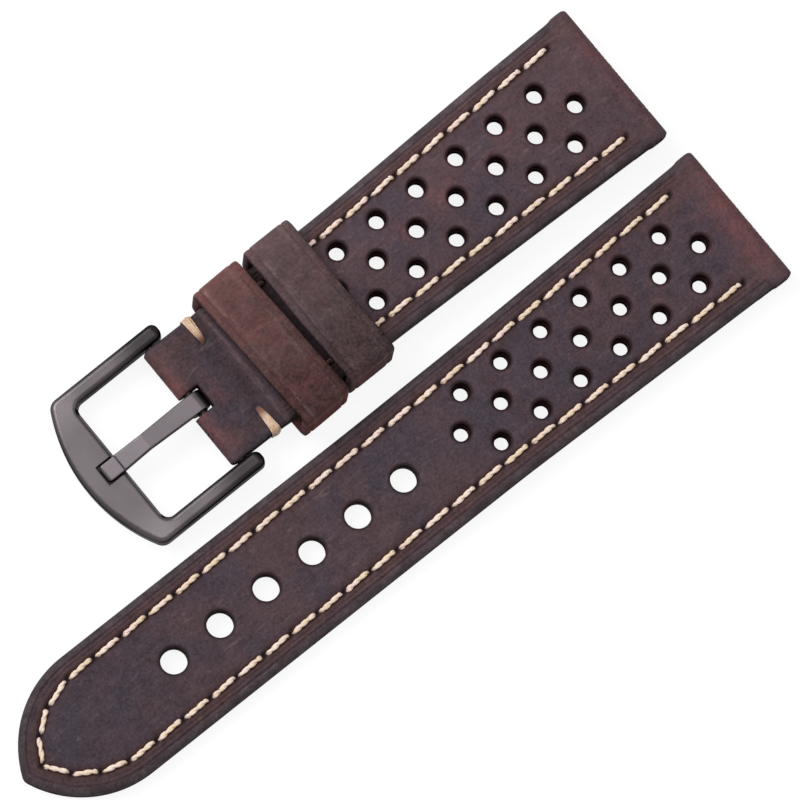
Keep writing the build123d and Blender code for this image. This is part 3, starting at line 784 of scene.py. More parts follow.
def strap_half(half, rows, place, bores):
    """The three leather layers of one half."""
    outline = half.outline(edge_step)
    holes = hole_loops(half)
    narrowing = 0.2 if half.tabbed else 0.28
    marks = leather_marks(half, rows)
    nothing = np.zeros((0, 2))

    def joint_height(points):
        x = points[:, 0]
        flap = x > half.flap_x + step_width / 2
        if half.tabbed:
            flap |= x < half.lining_x - step_width / 2
        return np.where(flap, lining_under(points), lining_thickness + half.filler(x))

    def lining_under(points):
        x, y = points.T
        low, top = half.levels(x)
        relief = np.interp(half.inset(x, y), *zip(*under_relief))
        gap = np.maximum(hole_gap(half, points), 0)
        relief += 0.12 * np.exp(-gap / 0.15)
        under, needle = stitch_shape(points, rows, 0.45)
        relief += 0.42 * under + 0.5 * needle
        relief += 0.012 * waves(points, 2.2, 5)
        return low + np.maximum(relief, 0) * relief_room(low, top)

    def lining_top(points):
        return np.full(len(points), lining_thickness)

    def filler_top(points):
        return lining_thickness + half.filler(points[:, 0])

    def layer(kind, node, loops, faces, heights, rings, push, material, slot, cuts=()):
        wall = {"rings": rings, "push": wall_push(*push)}
        piece = slab(
            f"{half.body}_{kind}", half, loops, *faces, *heights, wall, place, material, marks
        )
        if cuts:
            cut_bores(piece, cuts)
        stand_in(piece, f"{half.name}_{node}", half.body)

    fine, coarse = sheet_points(half, True), sheet_points(half, False)
    layer(
        "top", "top_leather", [outline] + holes, (fine, coarse), (show_face(half, rows), joint_height),
        (9, 7), (narrowing, 0.035), outer_leather, "outer_leather", bores,
    )
    start = half.lining_x if half.tabbed else half.end_x
    loops = [trim_loop(outline, start, half.flap_x - layer_play, 0.04)]
    loops += [loop for (x, y, r), loop in zip(half.holes, holes) if x + r < half.flap_x]
    inner = coarse[coarse[:, 0] < half.flap_x - 0.2]
    if half.tabbed:
        inner = inner[inner[:, 0] > start + 0.2]
    layer(
        "lining", "lining_leather", loops, (nothing, inner), (lining_top, lining_under),
        (4, 4), (narrowing, 0.03), lining_leather, "lining_leather",
    )
    start = half.lining_x if half.tabbed else half.end_x + thin_tail_length + 1.1
    loops = [trim_loop(outline, start, half.flap_x - layer_play, 0.08)]
    loops += [
        loop for (x, y, r), loop in zip(half.holes, holes) if start < x - r and x + r < half.flap_x
    ]
    layer(
        "filler", "filler", loops, (nothing, nothing), (filler_top, lining_top),
        (4, 4), (narrowing + 0.04, 0.04), filler_board, "filler_board",
    )


def trim_loop(outline, low_x, high_x, inset):
    """The part of an outline between two values of x, closed across, and drawn in a little."""
    points = []
    for (x, y), (next_x, next_y) in zip(outline, outline[1:] + outline[:1]):
        if low_x <= x <= high_x:
            points.append((x, y))
        for limit in (low_x, high_x):
            if (x - limit) * (next_x - limit) < 0:
                points.append((limit, y + (next_y - y) * (limit - x) / (next_x - x)))
    return [(x, y - inset * np.sign(y)) for x, y in points]


# Material building
class Shader:
    """Adds nodes to a new material or world and joins their sockets."""

    def __init__(self, owner):
        self.owner = owner
        owner.use_nodes = True
        self.tree = owner.node_tree
        self.tree.nodes.clear()

    def add(self, kind, inputs=None, **settings):
        node = self.tree.nodes.new(kind)
        for key, value in settings.items():
            setattr(node, key, value)
        for key, value in (inputs or {}).items():
            self.put(node.inputs[key], value)
        return node

    def put(self, socket, value):
        if isinstance(value, bpy.types.NodeSocket):
            self.tree.links.new(value, socket)
        else:
            socket.default_value = value

    def mix(self, factor, first, second, blend="MIX"):
        node = self.add("ShaderNodeMix", data_type="RGBA", blend_type=blend)
        self.put(node.inputs[0], factor)
        self.put(node.inputs[6], first)
        self.put(node.inputs[7], second)
        return node.outputs[2]

    def cover(self, colour, mask, strength, over):
        """The colour with another one laid over it, as far as a mask and a strength say."""
        return self.mix(self.times(mask, strength), colour, over)

    def sum(self, kind, first, second=0.0):
        node = self.add("ShaderNodeMath", operation=kind)
        self.put(node.inputs[0], first)
        self.put(node.inputs[1], second)
        return node.outputs[0]

    def times(self, first, second):
        return self.sum("MULTIPLY", first, second)

    def plus(self, first, second):
        return self.sum("ADD", first, second)

    def seen(self):
        """1 where the camera sees a surface, straight, in a reflection or through glass."""
        light = self.add("ShaderNodeLightPath").outputs
        seen = self.sum("MAXIMUM", light["Is Camera Ray"], light["Is Glossy Ray"])
        return self.sum("MAXIMUM", seen, light["Is Transmission Ray"])

    def ramp(self, value, low, high):
        node = self.add("ShaderNodeMapRange", {"Value": value, "From Min": low, "From Max": high})
        node.interpolation_type = "SMOOTHSTEP"
        return node.outputs["Result"]

    def mark(self, name):
        return self.add("ShaderNodeAttribute", attribute_name=name).outputs["Fac"]

    def noise(self, scale, detail=3.0, roughness=0.5, stretch=(1, 1, 1), distortion=0.0):
        place = self.add("ShaderNodeTexCoord").outputs["Object"]
        place = self.add("ShaderNodeMapping", {"Vector": place, "Scale": stretch}).outputs[0]
        return self.add("ShaderNodeTexNoise", {
            "Vector": place, "Scale": scale, "Detail": detail, "Roughness": roughness,
            "Distortion": distortion,
        }).outputs[0]

    def cells(self, scale):
        place = self.add("ShaderNodeTexCoord").outputs["Object"]
        cells = self.add("ShaderNodeTexVoronoi", {"Vector": place, "Scale": scale})
        return cells.outputs["Distance"]

    def finish(self, **inputs):
        surface = self.add("ShaderNodeBsdfPrincipled")
        for key, value in inputs.items():
            self.put(surface.inputs[key.replace("_", " ")], value)
        return self.out("ShaderNodeOutputMaterial", surface)

    def out(self, kind, surface):
        self.add(kind, {0: surface.outputs[0]})
        return self.owner

    def bump(self, height, strength, distance, normal=None):
        inputs = {"Height": height, "Strength": strength, "Distance": distance}
        if normal is not None:
            inputs["Normal"] = normal
        return self.add("ShaderNodeBump", inputs).outputs[0]


def srgb(red, green, blue):
    """A colour as it looks on screen, 0 to 255, as a scene colour."""
    parts = [value / 255 for value in (red, green, blue)]
    linear = [p / 12.92 if p <= 0.04045 else ((p + 0.055) / 1.055) ** 2.4 for p in parts]
    return (*linear, 1.0)


def leather_material(name, base, cool, pulled, wall, bias=0.0, rough=0.5):
    """Oiled pull-up leather: clouded brown, burgundy patches, grain, scuffs and dark edges."""
    s = Shader(bpy.data.materials.new(name))
    clouds = s.noise(90, 4.0, 0.55, (1, 1, 0.6), 0.4)
    colour = s.mix(s.ramp(clouds, 0.36, 0.64), base, cool)
    patches = s.noise(260, 6.0, 0.66, (1, 1, 0.5), 0.9)
    pull = s.plus(s.plus(s.mark("pull"), bias), s.times(s.mark("rim"), 0.25))
    level = s.plus(s.times(pull, 0.5), s.times(patches, 0.9))
    colour = s.cover(colour, s.ramp(level, 0.5, 1.05), 0.85, pulled)
    colour = s.cover(colour, s.mark("strip"), 0.45, srgb(78, 57, 56))
    scuffs = s.noise(700, 4.0, 0.7, (0.3, 1.5, 1), 1.2)
    colour = s.cover(colour, s.ramp(scuffs, 0.54, 0.8), 0.4, srgb(122, 98, 98))
    edge = s.noise(600, 3.0, 0.6, (0.5, 1, 1))
    edge_colour = s.mix(s.ramp(edge, 0.35, 0.7), srgb(60, 50, 53), srgb(78, 67, 70))
    colour = s.mix(s.mark("painted"), colour, edge_colour)
    # Lighter lines: a painted highlight on the tab's ridge, and a lighter line beside each pressed line
    # of the keepers
    lighter_lines = s.times(s.mark("lighter_lines"), s.ramp(s.noise(1200, 3.0, 0.7, (1, 0.2, 1)), 0.4, 0.62))
    colour = s.cover(colour, lighter_lines, 0.6, srgb(124, 102, 104))
    mottle = s.sum("SUBTRACT", s.noise(480, 5.0, 0.68), 0.5)
    grain = s.sum("SUBTRACT", s.noise(2300, 3.0, 0.7), 0.5)
    # Mottle and grain vary the tone; the shade mark adds painted light and shade
    shade = s.plus(s.times(mottle, 1.1), s.times(grain, 1.5))
    shade = s.plus(s.plus(shade, s.times(s.mark("shade"), 0.4)), 1.0)
    colour = s.mix(1.0, colour, shade, "MULTIPLY")
    specks = s.noise(5200, 2.0, 0.6)
    colour = s.cover(colour, s.ramp(specks, 0.52, 0.8), 0.35, srgb(34, 24, 26))
    # Painted shadow round the punched holes' rims
    colour = s.cover(colour, s.mark("ring"), 0.8, srgb(36, 24, 26))
    colour = s.cover(colour, s.mark("thread_halo"), 0.85, srgb(60, 32, 26))
    # Painted shade: needle holes, the keepers' pressed lines and the gap between the keepers turn nearly
    # black
    colour = s.mix(s.mark("needle"), colour, srgb(30, 12, 12))
    walls = s.noise(900, 3.0, 0.6, (0.4, 0.4, 2.5))
    wall_colour = s.mix(s.ramp(walls, 0.35, 0.7), wall, [c * 1.7 for c in wall[:3]] + [1.0])
    colour = s.mix(s.mark("hole_wall"), colour, wall_colour)
    fine = s.noise(3600, 4.0, 0.6)
    roughness = s.plus(s.times(fine, 0.16), rough)
    bumps = s.bump(s.cells(1500), 0.25, 0.00012)
    bumps = s.bump(mottle, 0.3, 0.0001, bumps)
    bumps = s.bump(fine, 0.4, 0.00007, bumps)
    return s.finish(
        Base_Color=colour, Roughness=roughness, Normal=bumps,
        Specular_IOR_Level=s.times(s.sum("SUBTRACT", 1.0, s.mark("matt")), 0.1),
    )


dark_wall = srgb(36, 21, 23)
outer_leather = leather_material(
    "outer_leather", srgb(73, 57, 61), srgb(64, 55, 63), srgb(100, 62, 62), dark_wall
)
lining_leather = leather_material(
    "lining_leather", srgb(92, 72, 62), srgb(84, 68, 60), srgb(100, 74, 62), dark_wall, rough=0.6
)
filler_board = leather_material(
    "filler_board", srgb(58, 46, 46), srgb(52, 44, 45), srgb(66, 46, 46), dark_wall, rough=0.6
)
fixed_keeper_leather = leather_material(
    "fixed_keeper_leather", srgb(88, 57, 55), srgb(78, 57, 56), srgb(106, 60, 59),
    srgb(40, 27, 27), 0.25
)
free_keeper_leather = leather_material(
    "free_keeper_leather", srgb(81, 61, 62), srgb(74, 60, 62), srgb(101, 64, 63),
    srgb(38, 28, 28), 0.05
)


def thread_material(name, first, second, third, thread_shade):
    """Waxed twisted thread: cream with yellow and pink stretches, with painted shade where it dives in
    and where it lies under a keeper.
    """
    s = Shader(bpy.data.materials.new(name))
    tint = s.noise(420, 2.0, 0.5)
    colour = s.mix(s.ramp(tint, 0.38, 0.6), first, second)
    tint = s.noise(700, 3.0, 0.6)
    colour = s.mix(s.ramp(tint, 0.48, 0.72), colour, third)
    colour = s.mix(s.mark("thread_shade"), colour, thread_shade)
    fibres = s.add("ShaderNodeUVMap", uv_map="twist").outputs[0]
    fibres = s.add("ShaderNodeTexWave", {
        "Vector": fibres, "Scale": 1.0, "Distortion": 1.2, "Detail": 2.0, "Detail Scale": 2.0,
    }, bands_direction="DIAGONAL").outputs[1]
    # Painted shade in the grooves between the twisted fibres
    between_fibres_shade = s.mix(0.4, colour, srgb(150, 112, 92), "MULTIPLY")
    colour = s.mix(s.ramp(fibres, 0.0, 0.5), between_fibres_shade, colour)
    return s.finish(
        Base_Color=colour, Roughness=0.6, Normal=s.bump(fibres, 0.5, 0.00005),
        Sheen_Weight=0.25, Sheen_Roughness=0.5,
    )


# The last colour of each thread is its painted shade
cream_thread = thread_material(
    "cream_thread", srgb(252, 233, 216), srgb(242, 218, 188), srgb(252, 220, 214), srgb(78, 36, 26)
)
tack_thread = thread_material(
    "tack_thread", srgb(232, 202, 174), srgb(214, 174, 136), srgb(238, 208, 190), srgb(108, 56, 32)
)
brown_thread = thread_material(
    "brown_thread", srgb(62, 46, 44), srgb(54, 40, 38), srgb(70, 52, 48), srgb(24, 16, 14)
)


def strands(name, paths, radii, material, squash=1.0):
    """Round strands along paths. A path gives each point, its normal and binormal and its painted shade.
    """
    vertices, faces, thread_shade, twist = [], [], [], []
    count = 0
    for (points, normals, binormals, depth, turns), radius in zip(paths, radii):
        rings, sides = len(points), strand_sides
        angles = np.arange(sides) * 2 * pi / sides
        circle = (
            np.cos(angles)[None, :, None] * binormals[:, None, :]
            + np.sin(angles)[None, :, None] * normals[:, None, :] * squash
        )
        ring = points[:, None, :] + circle * np.asarray(radius).reshape(-1, 1, 1)
        vertices.append(ring.reshape(-1, 3))
        thread_shade.append(np.repeat(depth, sides))
        lengths = path_lengths(points)
        faces += tube_faces(rings, sides, count)
        for v0, v1 in zip(lengths, lengths[1:]):
            for k in range(sides):
                u0, u1 = k / sides * turns, (k + 1) / sides * turns
                twist += [(u0, v0), (u1, v0), (u1, v1), (u0, v1)]
        twist += [(0, 0)] * 2 * sides
        count += rings * sides
    piece = bpy.data.objects.new(name, bpy.data.meshes.new(name))
    piece.data.from_pydata([Vector(v) * MM for v in np.concatenate(vertices)], [], faces)
    layer = piece.data.uv_layers.new(name="twist")
    layer.data.foreach_set("uv", [value for corner in twist for value in corner])
    attribute = piece.data.attributes.new("thread_shade", "FLOAT", "POINT")
    attribute.data.foreach_set("value", np.concatenate(thread_shade).astype(np.float32))
    piece.data.polygons.foreach_set("use_smooth", [True] * len(faces))
    piece.data.materials.append(material)
    bpy.context.scene.collection.objects.link(piece)
    return piece


def directions(points, across):
    """The normals and binormals along a path, from the direction across it."""
    tangent = np.gradient(points, axis=0)
    tangent /= np.linalg.norm(tangent, axis=1)[:, None]
    across = np.tile(np.array(across), (len(points), 1))
    return np.cross(tangent, across), across


def strand_path(points, depth, turns):
    """A path for strands(), with unit normals, whose strand lies across X."""
    normal, across = directions(points, (1.0, 0, 0))
    normal /= np.linalg.norm(normal, axis=1)[:, None]
    return points, normal, across, depth, turns


def stitch_paths(half, row, place, size, under):
    """Two plies for each stitch of a row, which dive into the needle holes at its ends."""
    paths, radii = [], []
    ply, offset = size * ply_radius_share, size * ply_offset_share
    lean = bobbin_lean if under else needle_lean
    for number, (first, last) in enumerate(zip(row, row[1:])):
        length = np.hypot(*(last - first))
        along = (last - first) / length
        side = np.array([-along[1], along[0]])
        share = np.linspace(0.02, 0.98, stitch_rings)
        sway = lean * np.sin((share - 0.5) * pi) + 0.03 * np.sin(number * 2.7 + share * 4)
        flat = first + share[:, None] * (last - first) + side * sway[:, None]
        low, top = half.levels(flat[:, 0])
        from_end = np.minimum(share, 1 - share) * length
        dive = 1 - smooth(0.26, 0.8, from_end)
        if under:
            z = low + size * 0.55 + 0.8 * dive
        else:
            z = top + 0.03 - 1.2 * dive + 0.04 * np.sin(share * pi)
        line = np.column_stack([flat, z])
        normal, across = directions(line, (*side, 0.0))
        taper = 1 - 0.16 * (1 - smooth(0.2, 0.9, from_end))
        for turn in (0, pi):
            angle = turn + number * 1.9 + share * length / ply_twist_length * 2 * pi
            reach = offset * taper * (1 + 0.15 * np.sin(number + share * 9))
            turned = np.cos(angle)[:, None] * across + np.sin(angle)[:, None] * normal
            centre = line + reach[:, None] * turned
            # Painted shade: stitches under the keepers take the dark colour
            under_keeper_shade = smooth(keeper_gap_end + 0.4, keeper_gap_end, flat[:, 0]) * half.tabbed
            shaded = np.maximum(dive, under_keeper_shade)
            centre = leaned(half, centre) + np.array(place)
            paths.append((centre, normal, across, shaded, strand_turns))
            radii.append(ply * taper * (1 + 0.07 * np.sin(share * 13 + number)))
    return paths, radii


def stitching(half, rows, place):
    for kind, size in (("needle", needle_thread_size), ("bobbin", bobbin_thread_size)):
        paths, radii = [], []
        for row in rows:
            row_paths, row_radii = stitch_paths(half, row, place, size, kind == "bobbin")
            paths += row_paths
            radii += row_radii
        piece = strands(f"{half.body}_{kind}_stitches", paths, radii, cream_thread)
        stand_in(piece, f"{half.name}_{kind}_thread", half.body)


# Tacks: a fan of strands from a hole in the tab, round its edge and back from below
def tack(name, node, side):
    rng = np.random.default_rng(7 if side > 0 else 11)
    hole_y = tab_width / 2 - tack_reach
    edge_y = tab_width / 2 + 0.02
    top = tab_thickness
    place = np.array([fold_x + tack_fold_distance, short_y, short_z])
    paths, radii = [], []
    for k in range(tack_strands):
        spread = (k + 0.5) / tack_strands * 2 - 1
        radius = tack_strand_radius + 0.03 * rng.uniform(-1, 1)
        base = radius + 0.03 + 0.09 * rng.uniform(0, 1) + 0.08 * (1 - spread * spread)
        beside = edge_y + base * 0.75
        route = np.array([
            (0.2, hole_y - 0.1, top - 1.0), (0.24, hole_y - 0.05, top - 0.45),
            (0.3, hole_y + 0.12, top - 0.05), (0.4, hole_y + 0.55, top + base),
            (0.5, hole_y + 1.5, top + base + 0.03), (0.58, hole_y + 2.6, top + base + 0.02),
            (0.65, edge_y - 0.35, top + base - 0.04), (0.67, edge_y - 0.05, top - 0.12 + base * 0.5),
            (0.68, beside, top - 0.55), (0.68, beside, top / 2), (0.68, beside, 0.5),
            (0.64, edge_y - 0.1, -0.05 - base * 0.4), (0.5, edge_y - 0.8, -radius - 0.04),
            (0.3, hole_y + 0.5, -radius - 0.02), (0.2, hole_y + 0.1, 0.15),
            (0.12, hole_y - 0.05, 0.9),
        ])
        route[:, 0] = route[:, 0] * spread + 0.05 * rng.uniform(-1, 1)
        points = smooth_path(route, tack_rings)
        points[:, 0] += 0.025 * np.sin(np.linspace(0, 9, len(points)) + k * 2.1)
        points[:, 1] *= side
        # Painted shade where the strands go into the hole
        depth = 0.95 * smooth(hole_y + 2.0, hole_y + 0.3, np.abs(points[:, 1]))
        paths.append(strand_path(points + place, depth, strand_turns))
        radii.append(np.full(len(points), radius))
    stand_in(strands(name, paths, radii, tack_thread), node, "short_half")


def smooth_path(points, count):
    """Points at an even spacing on a smooth curve through the given ones."""
    points = np.asarray(points, float)
    padded = np.concatenate([[2 * points[0] - points[1]], points, [2 * points[-1] - points[-2]]])
    curve = []
    for k in range(len(points) - 1):
        a, b, c, d = padded[k:k + 4]
        for t in np.linspace(0, 1, 12, endpoint=False):
            curve.append(
                0.5 * (2 * b + (c - a) * t + (2 * a - 5 * b + 4 * c - d) * t**2
                       + (3 * b - a - 3 * c + d) * t**3)
            )
    curve.append(points[-1])
    return points_along(curve, np.linspace(0, path_lengths(curve)[-1], count))


# Keepers: bands of leather with rounded edges, two pressed lines and a seam underneath
keeper_thickness = 1.4
fixed_keeper_inner_width = 20.95
free_keeper_inner_width = 20.4
keeper_inner_height = 6.0
keeper_corner_radius = 1.4
keeper_inner_radius = 0.2
keeper_seam_slit = 0.12
seam_stitch_spacing = 3.2
corner_steps = 10
keeper_face = [
    (-3.84, 1.0), (-3.84, 0.7), (-3.83, 0.4), (-3.78, 0.2), (-3.68, 0.08), (-3.5, 0.03),
    (-3.1, 0.01), (-2.95, 0.02), (-2.84, 0.04), (-2.77, 0.09), (-2.7, 0.09), (-2.62, 0.01),
    (-2.4, -0.03), (-1.6, -0.04), (-0.8, -0.04), (0.0, -0.04),
]
keeper_back = [(3.7, 1.22), (3.5, 1.36), (3.2, 1.4), (1.6, 1.4), (0.0, 1.4)]

# How light a keeper is from its near end to its far one, as y and the shade there
keeper_shading = (
    (-11.5, -10, -6, -3, 0, 6, 9, 12), (-0.6, -1.2, -0.9, -0.4, 0.0, 0.2, 0.6, 1.2)
)


def band_loop(side, low, high, radius):
    """Points round a band's rounded oblong, from one side of its seam to the other."""
    slit = keeper_seam_slit / 2
    legs = (
        ((slit, low), (side - radius, low), 22), ((side, low + radius), (side, high - radius), 10),
        ((side - radius, high), (radius - side, high), 44),
        ((-side, high - radius), (-side, low + radius), 10), ((radius - side, low), (-slit, low), 22),
    )
    middle = (low + high) / 2
    points = []
    for number, (start, end, count) in enumerate(legs):
        points += list(np.linspace(start, end, count, endpoint=False))
        if number < 4:
            centre = Vector((side - radius, high - middle - radius))
            centre.x *= 1 if number < 2 else -1
            centre.y *= 1 if number in (1, 2) else -1
            for k in range(corner_steps):
                angle = radians(90 * (number - 1 + k / corner_steps))
                points.append((centre.x + radius * cos(angle), middle + centre.y + radius * sin(angle)))
    points.append((-slit, low))
    return np.array(points)


def keeper(name, node, body, material, inner_width, turn, seed):
    low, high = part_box(node)
    centre = ((low.x + high.x) / 2 / MM, (low.y + high.y) / 2 / MM, low.z / MM)
    high = keeper_inner_height + 2 * keeper_thickness
    outer = band_loop(inner_width / 2 + keeper_thickness, 0, high, keeper_corner_radius)
    inner = band_loop(
        inner_width / 2, keeper_thickness, high - keeper_thickness, keeper_inner_radius
    )
    mirrored = [[(-x, depth) for x, depth in reversed(part[:-1])] for part in (keeper_face, keeper_back)]
    section = np.array(keeper_face + mirrored[0] + keeper_back + mirrored[1])
    rings, size = len(outer), len(section)
    from_middle, sunk = np.abs(section[:, 0]), section[:, 1]
    depth = sunk / keeper_thickness
    flat = outer[:, None, :] + (inner - outer)[:, None, :] * depth[None, :, None]
    xs = np.tile(section[:, 0], (rings, 1))
    vertices = np.stack([xs, flat[..., 0], flat[..., 1]], 2)
    reached = path_lengths(outer)
    bend, soft = (
        np.array([noise.noise(Vector((r / length, start, 0))) for r in reached])
        for length, start in ((9, seed), (5, seed + 5))
    )
    lifted = smooth(7.5, 8.5, outer[:, 1]) * (outer[:, 1] > 0)
    vertices[..., 0] += 0.1 * bend[:, None] * smooth(2.0, 3.8, from_middle)
    vertices[..., 2] += 0.05 * (soft * lifted)[:, None]
    at_edge = np.tile(np.where(from_middle > 3.75, 1.0, 0.0), rings)
    crease, beside = (
        np.tile(bell(from_middle - middle, width) * (sunk < 0.5), rings)
        for middle, width in ((2.73, 0.12), (2.5, 0.16))
    )
    rotation = np.array([[cos(turn), -sin(turn)], [sin(turn), cos(turn)]])
    points = vertices.reshape(-1, 3)
    points[:, :2] = points[:, :2] @ rotation.T
    points += np.array(centre)
    shade = np.repeat(np.interp(outer[:, 0], *keeper_shading), size)
    shade += np.tile(smooth(-3.9, -2.6, section[:, 0]) * 0.1 - 0.1, rings)
    shade -= np.tile(0.35 * smooth(2.9, 3.4, section[:, 0]), rings)
    ends = np.repeat(1 - smooth(7.0, 8.6, outer[:, 1]), size)
    shade += (2.4 - shade) * ends
    # Painted shade darkens the pressed lines through the needle mark. The line beside them is lighter,
    # and the shade mark holds the keeper's painted light and shade.
    piece = mesh_piece(name, points, tube_faces(rings, size), [material], {
        "painted": at_edge * 0.6, "needle": crease * 0.15, "lighter_lines": beside * 0.8, "shade": shade,
        "matt": np.maximum(ends, at_edge), "pull": np.full(len(points), 0.1),
    }, sharp=60)
    stand_in(piece, node, body)
    seam(name + "_stitches", node + "_seam", body, rotation, centre)


def seam(name, node, body, rotation, centre):
    """Two stitches of a few strands across the slit underneath."""
    paths, radii = [], []
    for side in (-1, 1):
        for k in range(seam_strands):
            x = side * seam_stitch_spacing / 2 + (k - (seam_strands - 1) / 2) * seam_strand_spacing
            route = [
                (x, -0.98, 1.0), (x, -0.96, 0.5), (x, -0.7, 0.26), (x, 0.0, 0.2), (x, 0.7, 0.26),
                (x, 0.96, 0.5), (x, 0.98, 1.0),
            ]
            points = smooth_path(route, seam_rings)
            points[:, 0] += 0.04 * np.sin(np.linspace(0, 6, len(points)) + k * 2)
            points[:, :2] = points[:, :2] @ rotation.T
            points += np.array(centre)
            paths.append(strand_path(points, np.zeros(len(points)), seam_strand_turns))
            radii.append(np.full(len(points), seam_strand_radius))
    stand_in(strands(name, paths, radii, brown_thread), node, body)


# Metal, with the places where the frame gets a painted highlight in its corners and painted shade at its
# ends
highlight_corner_x = (-23, -27)
highlight_corner_y = (6, 11)
frame_end_x = (-19.5, -13.5)
corner_shade_reach = 0.8
metal_rounding = 0.22


def metal_material(name, face, side, rough, shaded_end=None):
    """Blasted metal, with painted shade on its sides and in its corners; the frame also gets painted
    shade towards its ends and a painted highlight in its front corners.
    """
    s = Shader(bpy.data.materials.new(name))
    blotches = s.noise(160, 3.0, 0.5)
    colour = s.mix(s.ramp(blotches, 0.3, 0.7), face, [c * 0.86 for c in face[:3]] + [1.0])
    place = s.add("ShaderNodeTexCoord")
    facing = s.add("ShaderNodeSeparateXYZ", {0: place.outputs["Normal"]})
    # Painted shade: faces that turn away from straight up take the side colour
    colour = s.mix(s.ramp(facing.outputs[2], 0.15, 0.85), side, colour)
    if shaded_end:
        along = s.add("ShaderNodeSeparateXYZ", {0: place.outputs["Object"]})
        end = s.ramp(along.outputs[0], *(reach * MM for reach in shaded_end))
        off_centre = s.sum("ABSOLUTE", s.sum("SUBTRACT", along.outputs[1], short_y * MM))
        corner = s.ramp(off_centre, *(reach * MM for reach in highlight_corner_y))
        front = s.ramp(along.outputs[0], *(reach * MM for reach in highlight_corner_x))
        # A painted highlight in the frame's front corners, and painted shade towards its ends
        colour = s.cover(colour, s.times(corner, front), 0.5, srgb(104, 98, 99))
        colour = s.cover(colour, end, 0.8, side)
    # Painted shade in corners and crevices, from ambient occlusion
    corners = s.add("ShaderNodeAmbientOcclusion", {"Distance": corner_shade_reach * MM}, samples=8)
    colour = s.mix(s.ramp(corners.outputs["AO"], 0.35, 0.85), side, colour)
    fine = s.noise(9000, 2.0, 0.6)
    roughness = s.plus(s.times(fine, 0.16), rough)
    rounded = s.add("ShaderNodeBevel", {"Radius": metal_rounding * MM}, samples=6).outputs[0]
    bumps = s.bump(fine, 0.12, 0.00002, rounded)
    bumps = s.bump(s.noise(330, 2.0, 0.5), 0.05, 0.0002, bumps)
    return s.finish(
        Base_Color=colour, Metallic=1.0, Roughness=roughness, Normal=bumps,
        Specular_Tint=(0.35, 0.34, 0.34, 1.0),
    )


# The second colour of each metal is its painted shade
gunmetal = metal_material("gunmetal", srgb(82, 77, 79), srgb(36, 33, 34), 0.26, frame_end_x)
tongue_metal = metal_material("tongue_metal", srgb(97, 91, 94), srgb(36, 33, 34), 0.26)
bar_steel = metal_material("bar_steel", srgb(76, 72, 72), srgb(47, 44, 44), 0.34)


def dress(node, material):
    """Gives a CAD node its finish."""
    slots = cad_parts[node].material_slots
    for held in slots:
        held.material = material
    if not slots:
        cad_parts[node].data.materials.append(material)


# Assembly
tail_place = (0.0, tail_y, 0.0)
short_place = (0.0, short_y, short_z)
tail_bores = [(tail.bore_x, tail_y, lug_round, lug_bore_radius)]
short_bores = [
    (short.bore_x, short_y, short_z + lug_round, lug_bore_radius),
    (short.bar_x, short_y, short_z + fold_round, bar_tunnel_radius),
]
strap_half(tail, tail_rows, tail_place, tail_bores)
strap_half(short, short_rows, short_place, short_bores)
stitching(tail, tail_rows, tail_place)
stitching(short, short_rows, short_place)
tack("far_tack", "fold_tack_far", 1)
tack("near_tack", "fold_tack_near", -1)
keeper(
    "fixed_band", "fixed_keeper", "short_half", fixed_keeper_leather, fixed_keeper_inner_width,
    radians(1.9), 3,
)
keeper(
    "free_band", "free_keeper", "free_keeper", free_keeper_leather, free_keeper_inner_width,
    radians(0.5), 8,
)
dress("buckle_frame", gunmetal)
dress("buckle_tongue", tongue_metal)
for node in ("bar_tube", "bar_tip_far", "bar_tip_near", "bar_spring"):
    dress(node, bar_steel)


# Stage: the floor lies just under the lowest leather
floor_z = -0.07


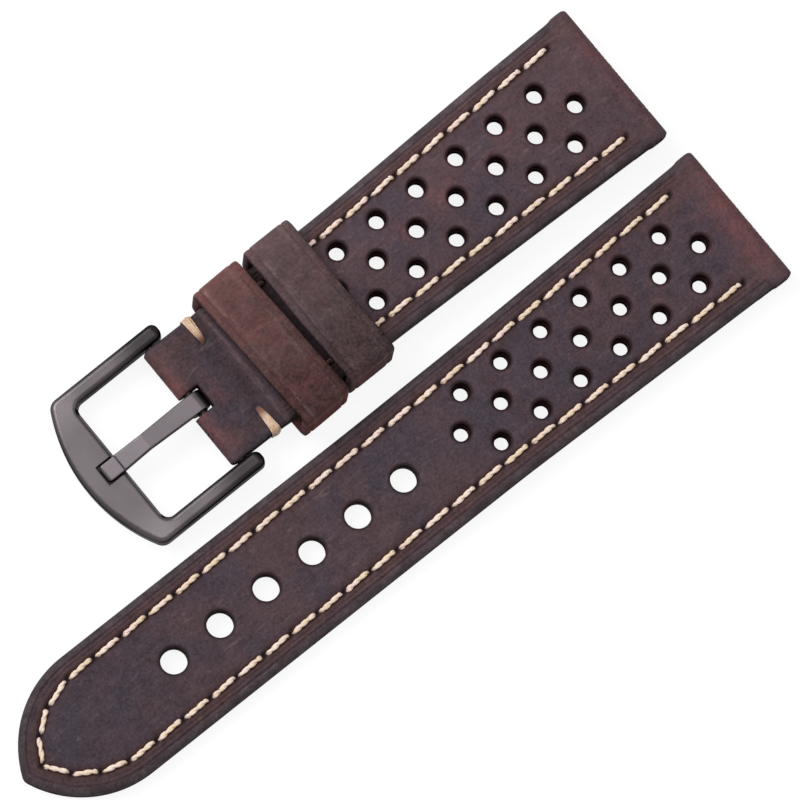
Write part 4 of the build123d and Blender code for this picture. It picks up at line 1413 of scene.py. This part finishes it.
def stage():
    """A pale floor that shows as white, with the object's soft shadow on it."""
    s = Shader(bpy.data.materials.new("floor"))
    grain = s.noise(14, 2.0)
    pale = s.mix(grain, srgb(176, 176, 176), srgb(182, 182, 182))
    plain = s.add("ShaderNodeBsdfDiffuse", {"Color": pale})
    shown = s.add("ShaderNodeBsdfDiffuse", {"Color": (0.15, 0.15, 0.15, 1)})
    glow = s.add("ShaderNodeEmission", {"Color": (1, 1, 1, 1), "Strength": 0.87})
    both = s.add("ShaderNodeAddShader", {0: shown.outputs[0], 1: glow.outputs[0]})
    final = s.add("ShaderNodeMixShader", {0: s.seen(), 1: plain.outputs[0], 2: both.outputs[0]})
    bpy.ops.mesh.primitive_plane_add(size=3, location=(0, 0, floor_z * MM))
    floor = bpy.context.object
    floor.name = "floor"
    floor.data.materials.append(s.out("ShaderNodeOutputMaterial", final))


def softbox(name, place, size, power):
    lamp = bpy.data.lights.new(name, "AREA")
    lamp.shape = "RECTANGLE"
    lamp.size, lamp.size_y = size
    lamp.energy = power
    holder = bpy.data.objects.new(name, lamp)
    holder.location = place
    holder.rotation_euler = (-Vector(place)).to_track_quat("-Z", "Y").to_euler()
    bpy.context.scene.collection.objects.link(holder)


def sky():
    """An even grey sky that lights the object, and shows as white."""
    s = Shader(bpy.data.worlds.new("studio"))
    strength = s.add("ShaderNodeMapRange", {"Value": s.seen(), "To Min": 0.5, "To Max": 1.0})
    background = s.add("ShaderNodeBackground", {"Strength": strength.outputs["Result"]})
    bpy.context.scene.world = s.out("ShaderNodeOutputWorld", background)


stage()
sky()
softbox("key", (-0.2, 0.42, 0.55), (0.5, 0.35), 3.6)
softbox("fill", (0.3, -0.4, 0.55), (0.5, 0.5), 0.6)
softbox("overhead", (-0.02, 0.04, 0.95), (0.45, 0.45), 1.75)

# Camera at the photograph's viewing angle
camera_data = bpy.data.cameras.new("camera")
camera_data.sensor_width = 36.0
camera_data.lens = 299.9
camera_data.clip_start = 0.05
camera = bpy.data.objects.new("camera", camera_data)
right = Vector((0.7739793, -0.6312649, 0.0496056))
up = Vector((0.6097743, 0.7641581, 0.2103276))
back = Vector((-0.1706789, -0.1325410, 0.9763716))
rotation = Matrix((right, up, back)).transposed()
camera.matrix_world = Matrix.Translation((-0.144368, -0.124132, 0.882134)) @ rotation.to_4x4()
bpy.context.scene.collection.objects.link(camera)
bpy.context.scene.camera = camera
bpy.context.scene.view_settings.view_transform = "Standard"
